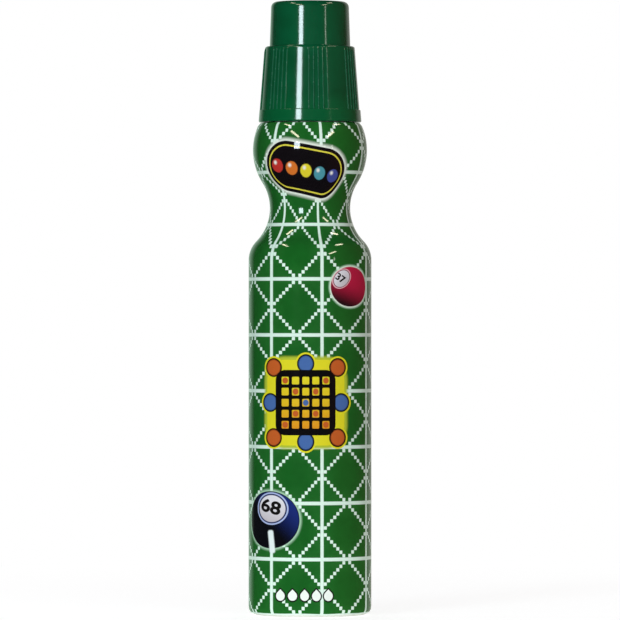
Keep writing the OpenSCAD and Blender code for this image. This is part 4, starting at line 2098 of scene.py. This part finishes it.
@dataclass
class Nib(Assembly):
    """The foam nib with the cloth drawn over it and folded under its edge."""

    radius: float = 6.8
    low: float = 129.492
    high: float = 137.542
    edge_round: float = 3.2
    crown_round: float = 18.0
    cloth_t: float = 0.4
    foam_gap: float = 0.03
    hem_w: float = 1.6
    hem_round: float = 0.35
    weave_repeat: float = 1.2
    weave_rise: float = 0.05
    step: float = 0.17
    hem_chords: int = 6
    outer_chords: int = 40
    inner_chords: int = 12
    foam_chords: int = 14
    segments: int = 384
    foam_segments: int = 96
    cut_d: float = 26.0

    def dome(self, inset: float, steps: int) -> list[Point]:
        """The nib's side and top, from the edge round to the axis.

        Args:
            inset: Distance in from the cloth's outer face.
            steps: The number of chords in each arc.

        Returns:
            The points.
        """
        edge_r = self.radius - self.edge_round
        centre_z = self.high - self.crown_round
        turn = math.degrees(math.asin(edge_r / (self.crown_round - self.edge_round)))
        edge_z = centre_z + (self.crown_round - self.edge_round) * math.cos(math.radians(turn))
        edge = arc((edge_r, edge_z), self.edge_round - inset, 0, 90 - turn, steps)
        crown = arc((0.0, centre_z), self.crown_round - inset, 90 - turn, 90, steps)
        crown[-1] = (0.0, crown[-1][1])
        return edge + crown[1:]

    def build(self) -> None:
        """Makes cloth and foam."""
        self.pieces = [self.build_cloth(), self.build_foam()]

    def build_cloth(self) -> Piece:
        """Weaves the cloth: each row of the outer face is lifted by the threads that cross there.

        Returns:
            The new object.
        """
        hem_c = (self.radius - self.hem_round, self.low + self.hem_round)
        hem = arc(hem_c, self.hem_round, -90, 0, self.hem_chords)
        dome = self.dome(0.0, self.outer_chords)
        outer = evenly([(self.radius - self.hem_w, self.low), *hem, *dome], self.step)
        inner = list(reversed(self.dome(self.cloth_t, self.inner_chords)))
        inner += [
            (self.radius - self.cloth_t, self.low + self.cloth_t),
            (self.radius - self.hem_w, self.low + self.cloth_t),
        ]
        run = lengths_along(outer)
        from_pole = [run[-1] - length for length in run]
        points = outer + inner

        def place(row: int, angle: float) -> Point:
            """The outline, with the threads on its outer face.

            Args:
                row: The row of the outline.
                angle: The angle round the axis, in radians.

            Returns:
                The radius and height.
            """
            r, z = points[row]
            if row == 0 or row >= len(outer) - 1:
                return (r, z)
            along = Vector(points[row + 1]) - Vector(points[row - 1])
            out = Vector((along.y, -along.x)).normalized()
            wave = math.tau * from_pole[row] / self.weave_repeat
            weave = math.sin(wave * math.cos(angle)) * math.sin(wave * math.sin(angle))
            return (r + out.x * weave * self.weave_rise, z + out.y * weave * self.weave_rise)

        cloth = lathe("nib_cloth", len(points), even_columns(self.segments), place)
        layer = cloth.data.uv_layers.new(name="Cloth")
        known: list[Point] = []
        for row in range(len(points)):
            reach = from_pole[row] if row < len(outer) else 0.0
            count = 1 if points[row][0] < ON_AXIS else self.segments
            for angle in even_columns(self.segments)[:count]:
                known.append((reach * math.cos(angle), reach * math.sin(angle)))
        for loop in cloth.data.loops:
            layer.data[loop.index].uv = known[loop.vertex_index]
        return cloth

    def build_foam(self) -> Piece:
        """Turns the foam core.

        Returns:
            The new object.
        """
        inset = self.cloth_t + self.foam_gap
        base = [(0.0, self.low + inset), (self.radius - inset, self.low + inset)]
        return turned("nib_foam_core", base + self.dome(inset, self.foam_chords), self.foam_segments)

    def dress(self) -> None:
        """Inked cloth, stretched over pale foam."""
        cloth, foam = self.pieces
        fit(foam, NIB_FOAM.make(), Body.NIB, Slot.FOAM, "foam_nib")
        fit(cloth, NIB_CLOTH.make(), Body.NIB, Slot.CLOTH, "nib_cover")


@dataclass
class ValveSpring(Assembly):
    """The steel spring under the valve."""

    coil_r: float = 2.45
    wire_r: float = 0.25
    turns: float = 5.5
    low: float = 114.472
    length: float = 5.78
    anchor_z: float = 114.2
    travel: float = 1.5
    sides: int = 12
    rings_per_turn: int = 40

    def build(self) -> None:
        """Winds the spring."""
        count = round(self.turns * self.rings_per_turn)
        rings = []
        for i in range(count + 1):
            turn = math.tau * self.turns * i / count
            z = self.low + self.length * i / count
            ring = []
            for k in range(self.sides):
                round_wire = math.tau * k / self.sides
                r = self.coil_r + self.wire_r * math.cos(round_wire)
                height = z + self.wire_r * math.sin(round_wire)
                ring.append(polar(r, turn, height))
            rings.append(ring)
        self.pieces = [sweep("valve_spring_wire", [rings])]

    def dress(self) -> None:
        """Bright steel, on a mesh of its own."""
        for piece in self.pieces:
            fit(piece, SPRING_STEEL.make(), Body.BOTTLE, Slot.SPRING, "valve_spring")
            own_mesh(piece)


def dress_inner_parts() -> None:
    """Gives the inner CAD nodes, which stay as they are, their finishes."""
    for node, finish in (
        ("ink_fill", INK),
        ("spring_retainer", VALVE_PLASTIC),
        ("valve_poppet", VALVE_PLASTIC),
        ("nib_pusher", VALVE_PLASTIC),
    ):
        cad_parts[node].material_slots[0].material = finish.make()
        log.info("dressed %s in %s", node, finish.name)


# Studio


@dataclass(frozen=True)
class SoftBox:
    """A studio lamp that faces the part."""

    name: str
    azimuth: float
    elevation: float
    width_mm: float
    height_mm: float
    radiance: float
    colour: str = "#ffffff"
    roll: float = 0.0
    glint_only: bool = False
    distance_mm: float = 1400.0
    aim_mm: float = 75.0

    def build(self) -> None:
        """Hangs the lamp at its azimuth, counted from the front to the right, and elevation."""
        a, e = math.radians(self.azimuth), math.radians(self.elevation)
        towards = Vector((math.sin(a) * math.cos(e), -math.cos(a) * math.cos(e), math.sin(e)))
        data = bpy.data.lights.new(self.name, "AREA")
        data.shape = "RECTANGLE"
        data.size = self.width_mm * MM
        data.size_y = self.height_mm * MM
        data.energy = self.radiance * math.pi * data.size * data.size_y
        data.color = linear(self.colour)[:3]
        lamp = bpy.data.objects.new(self.name, data)
        lamp.location = Vector((0.0, 0.0, self.aim_mm * MM)) + towards * self.distance_mm * MM
        rolled = Quaternion((0.0, 0.0, 1.0), math.radians(self.roll))
        lamp.rotation_euler = (towards.to_track_quat("Z", "Y") @ rolled).to_euler()
        lamp.visible_diffuse = not self.glint_only
        bpy.context.scene.collection.objects.link(lamp)


@dataclass(frozen=True)
class GlintTube(SoftBox):
    """A warm tube lamp that shows only where a surface mirrors it."""

    height_mm: float = 80.0
    radiance: float = 18.0
    colour: str = "#fff3d6"
    glint_only: bool = True


@dataclass
class Studio:
    """White surroundings, a pale floor, soft lamps and the camera.

    A direction of the surroundings is given by its parts along X, to the right, and Y, away from the front.
    """

    white: str = "#ffffff"
    soft_fore_and_aft: float = 2.4
    soft_power: float = 4.0
    soft_left: float = 0.13
    soft_up: float = 0.1
    left_tint: str = "#fdfeff"
    right_tint: str = "#ff9f86"
    tint_x: Point = (0.35, 0.95)
    front_gloss: str = "#2a2a2a"
    right_gloss: str = "#56322d"
    right_gloss_x: Point = (0.45, 0.85)
    back_gloss_left: str = "#bfdcc8"
    back_gloss_right: str = "#b4b3ab"
    back_gloss_y: Point = (0.8, 1.0)
    back_gloss_aside: float = 0.3
    back_gloss_left_late: float = 0.06
    middle_x: Point = (-0.2, 0.2)
    floor_r_mm: float = 300.0
    floor_sides: int = 128
    floor_drop_mm: float = 0.05
    floor_fade: Point = (0.4, 0.95)
    floor_colour: str = "#cdcdcd"
    floor_lift: float = 0.74
    pool_level: float = 0.7
    pool_from_mm: float = 40.0
    pool_to_mm: float = 100.0
    camera_mm: float = 1400.0
    camera_z_mm: float = 69.6
    frame_mm: float = 141.6
    sensor_mm: float = 36.0
    clip_m: Point = (0.05, 20.0)
    # Each lamp's name, azimuth, elevation, width and height.
    lamps: tuple[SoftBox, ...] = (
        SoftBox("Key softbox", -26.0, 9.0, 280.0, 300.0, radiance=18.5, colour="#e6f7ff"),
        SoftBox("Right strip", 46.0, 6.2, 50.0, 166.0, radiance=9.0, colour="#f6f5ea", glint_only=True),
        GlintTube("Near tube, left", -33.5, 29.5, 520.0, roll=-28.6),
        GlintTube("Near tube, right", 46.0, 28.0, 440.0, roll=28.5),
        GlintTube("Far tube, left", -71.4, 54.0, 440.0, roll=-15.8),
        GlintTube("Far tube, right", 87.0, 53.0, 360.0, roll=-15.7),
    )

    def build(self) -> None:
        """Builds everything round the part."""
        self.build_world()
        self.build_floor()
        for lamp in self.lamps:
            lamp.build()
        self.build_camera()
        bpy.context.scene.view_settings.view_transform = "Standard"

    def build_world(self) -> None:
        """White for the camera, soft light for surfaces, a dim room with a pale back wall for reflections."""
        world = bpy.data.worlds.new("Studio")
        bpy.context.scene.world = world
        world.use_nodes = True
        tree = world.node_tree
        tree.nodes.clear()
        towards = add(tree, COORDINATES, {}, out="Generated")
        x, y, z = (add(tree, SPLIT, {0: towards}, out=axis) for axis in "XYZ")
        level = add(tree, MATH, {0: y, 1: self.soft_power}, operation="POWER")
        level = add(tree, MATH, {0: level, 1: self.soft_fore_and_aft}, operation="MULTIPLY")
        left = add(tree, RANGE, {0: x, 1: -1.0, 2: 0.0, 3: self.soft_left, 4: 0.0})
        level = add(tree, MATH, {0: level, 1: left}, operation="ADD")
        above = add(tree, RANGE, {0: z, 1: 0.0, 2: 1.0, 3: 0.0, 4: self.soft_up})
        level = add(tree, MATH, {0: level, 1: above}, operation="ADD")
        low, high = self.tint_x
        side = add(tree, RANGE, {0: x, 1: low, 2: high, 3: 0.0, 4: 1.0}, **SMOOTH)
        tint = add(tree, BLEND, {0: side, 1: linear(self.left_tint), 2: linear(self.right_tint)})
        soft = add(tree, VECTOR, {0: tint, "Scale": level}, operation="SCALE")
        low, high = self.right_gloss_x
        right = add(tree, RANGE, {0: x, 1: low, 2: high, 3: 0.0, 4: 1.0}, **SMOOTH)
        room = add(tree, BLEND, {0: right, 1: linear(self.front_gloss), 2: linear(self.right_gloss)})
        aside = add(tree, MATH, {0: x}, operation="ABSOLUTE")
        aside = add(tree, MATH, {0: aside, 1: self.back_gloss_aside, 2: y}, operation="MULTIPLY_ADD")
        left_x, right_x = self.middle_x
        late = add(tree, RANGE, {0: x, 1: left_x, 2: right_x, 3: -self.back_gloss_left_late, 4: 0.0})
        aside = add(tree, MATH, {0: aside, 1: late}, operation="ADD")
        low, high = self.back_gloss_y
        behind = add(tree, RANGE, {0: aside, 1: low, 2: high, 3: 0.0, 4: 1.0}, **SMOOTH)
        across = add(tree, RANGE, {0: x, 1: left_x, 2: right_x, 3: 0.0, 4: 1.0})
        left_wall, right_wall = linear(self.back_gloss_left), linear(self.back_gloss_right)
        pale = add(tree, BLEND, {0: across, 1: left_wall, 2: right_wall})
        mirrored = add(tree, BLEND, {0: behind, 1: room, 2: pale})
        glossy = add(tree, RAY, {}, out="Is Glossy Ray")
        camera = add(tree, RAY, {}, out="Is Camera Ray")
        through = add(tree, RAY, {}, out="Is Transmission Ray")
        seen = add(tree, MATH, {0: camera, 1: through}, operation="MAXIMUM")
        colour = add(tree, BLEND, {0: glossy, 1: soft, 2: mirrored})
        colour = add(tree, BLEND, {0: seen, 1: colour, 2: linear(self.white)})
        shader = add(tree, "ShaderNodeBackground", {"Color": colour, "Strength": 1.0})
        add(tree, "ShaderNodeOutputWorld", {"Surface": shader})

    def build_floor(self) -> None:
        """A round sheet of matt white paper that keeps the shadow, with a pool of light round the part."""
        material = bpy.data.materials.new("Paper, matt white")
        material.use_nodes = True
        tree = material.node_tree
        tree.nodes.clear()
        place = add(tree, COORDINATES, {}, out="Object")
        off = add(tree, VECTOR, {0: place}, out="Value", operation="LENGTH")
        reach = self.floor_r_mm * MM
        low, high = (reach * share for share in self.floor_fade)
        edge = add(tree, RANGE, {0: off, 1: low, 2: high, 3: 0.0, 4: 1.0}, **SMOOTH)
        camera = add(tree, RAY, {}, out="Is Camera Ray")
        paper = add(tree, "ShaderNodeBsdfDiffuse", {"Color": linear(self.floor_colour)})
        low, high = self.pool_from_mm * MM, self.pool_to_mm * MM
        pool = add(tree, RANGE, {0: off, 1: low, 2: high, 3: self.pool_level, 4: 0.0}, **SMOOTH)
        lift = add(tree, RANGE, {0: camera, 1: 0.0, 2: 1.0, 3: pool, 4: self.floor_lift})
        glow = add(tree, "ShaderNodeEmission", {"Color": linear(self.white), "Strength": lift})
        near = add(tree, "ShaderNodeAddShader", {0: paper, 1: glow})
        white = add(tree, "ShaderNodeEmission", {"Color": linear(self.white), "Strength": camera})
        sheet = add(tree, "ShaderNodeMixShader", {0: edge, 1: near, 2: white})
        back = add(tree, "ShaderNodeNewGeometry", {}, out="Backfacing")
        clear = add(tree, "ShaderNodeBsdfTransparent", {})
        mirrored = add(tree, RAY, {}, out="Is Glossy Ray")
        away = add(tree, MATH, {0: back, 1: mirrored}, operation="MAXIMUM")
        sheet = add(tree, "ShaderNodeMixShader", {0: away, 1: sheet, 2: clear})
        add(tree, "ShaderNodeOutputMaterial", {"Surface": sheet})
        made = bmesh.new()
        bmesh.ops.create_circle(made, cap_ends=True, segments=self.floor_sides, radius=reach)
        mesh = bpy.data.meshes.new("floor")
        made.to_mesh(mesh)
        made.free()
        mesh.materials.append(material)
        floor = bpy.data.objects.new("floor", mesh)
        floor.location.z = -self.floor_drop_mm * MM
        bpy.context.scene.collection.objects.link(floor)

    def build_camera(self) -> None:
        """A level camera at the front with a long lens."""
        data = bpy.data.cameras.new("Camera")
        data.sensor_width = self.sensor_mm
        data.lens = self.sensor_mm * self.camera_mm / self.frame_mm
        data.clip_start, data.clip_end = self.clip_m
        camera = bpy.data.objects.new("Camera", data)
        camera.location = Vector((0.0, -self.camera_mm, self.camera_z_mm)) * MM
        camera.rotation_euler = (math.radians(90), 0.0, 0.0)
        bpy.context.scene.collection.objects.link(camera)
        bpy.context.scene.camera = camera


def main() -> None:
    """Builds the dauber, prints its sleeve and sets up the studio."""
    shape = BottleShape()
    sleeve = ShrinkSleeve(shape)
    blue = NumberBall(
        centre=sleeve.motif_place(-39.8, 22.05),
        half=(7.3, 6.5),
        lit="#1d2f78",
        shade="#0a0b12",
        light_from=(0.72, 0.69),
        lit_from=-0.2,
        lit_to=0.95,
        patch_centre=sleeve.motif_place(-38.6, 24.6),
        patch_half=(4.35, 3.68),
        patch_tilt=0.0,
        rings=((1.0, "#b4c4ee"), (0.915, "#1a2458")),
        outline="#0b0c1c",
        outline_w=0.03,
        # A painted reflection streak across the ball.
        shine=(0.04, -0.76, 0.1, 0.4),
    )
    red = NumberBall(
        centre=sleeve.motif_place(40.3, 74.89),
        half=(5.25, 4.75),
        lit="#c01f44",
        shade="#150f14",
        light_from=(0.4, 0.92),
        lit_from=-1.0,
        lit_to=0.3,
        patch_centre=sleeve.motif_place(30.9, 76.7),
        patch_half=(2.66, 2.02),
        patch_tilt=38.0,
        rings=((1.0, "#f0b9c4"), (0.9, "#7a1830")),
        outline="#e6efe0",
        outline_w=0.05,
        glow_w=0.07,
    )
    card = CardTile(centre=sleeve.motif_place(-3.9, 48.64))
    plaque = DaubPlaque(centre=sleeve.motif_place(-4.3, sleeve.print_height(101.2)))
    drops = InkDrops(centre=sleeve.motif_place(-5.0, 5.2))
    film = PrintedFilm(
        "PETG, shrink film, reverse printed",
        colour="#1a6423",
        ior=1.57,
        roughness=0.06,
        lattice=Lattice(wrap_mm=sleeve.wrap_mm),
        motifs=(blue, red, card, plaque, drops),
    )
    bottle = Bottle(shape)
    bottle.build()
    bottle.dress()
    sleeve.build()
    sleeve.dress(film)
    on_blue, on_red = sleeve.motif_place(-39.6, 25.05), sleeve.motif_place(29.7, 76.8)
    for number in (
        PrintedNumber("ball_number_blue", "68", on_blue, width=5.5, height=3.1, tilt=-12.0),
        PrintedNumber("ball_number_red", "37", on_red, width=2.4, height=1.75, tilt=-32.0),
    ):
        number.build(sleeve)
    for assembly in (ScrewCap(), SealWasher(), NibHolder(), Nib(), ValveSpring()):
        assembly.build()
        assembly.dress()
    dress_inner_parts()
    Studio().build()


if __name__ == "__main__":
    logging.basicConfig(level=logging.INFO, format="%(message)s")
    main()
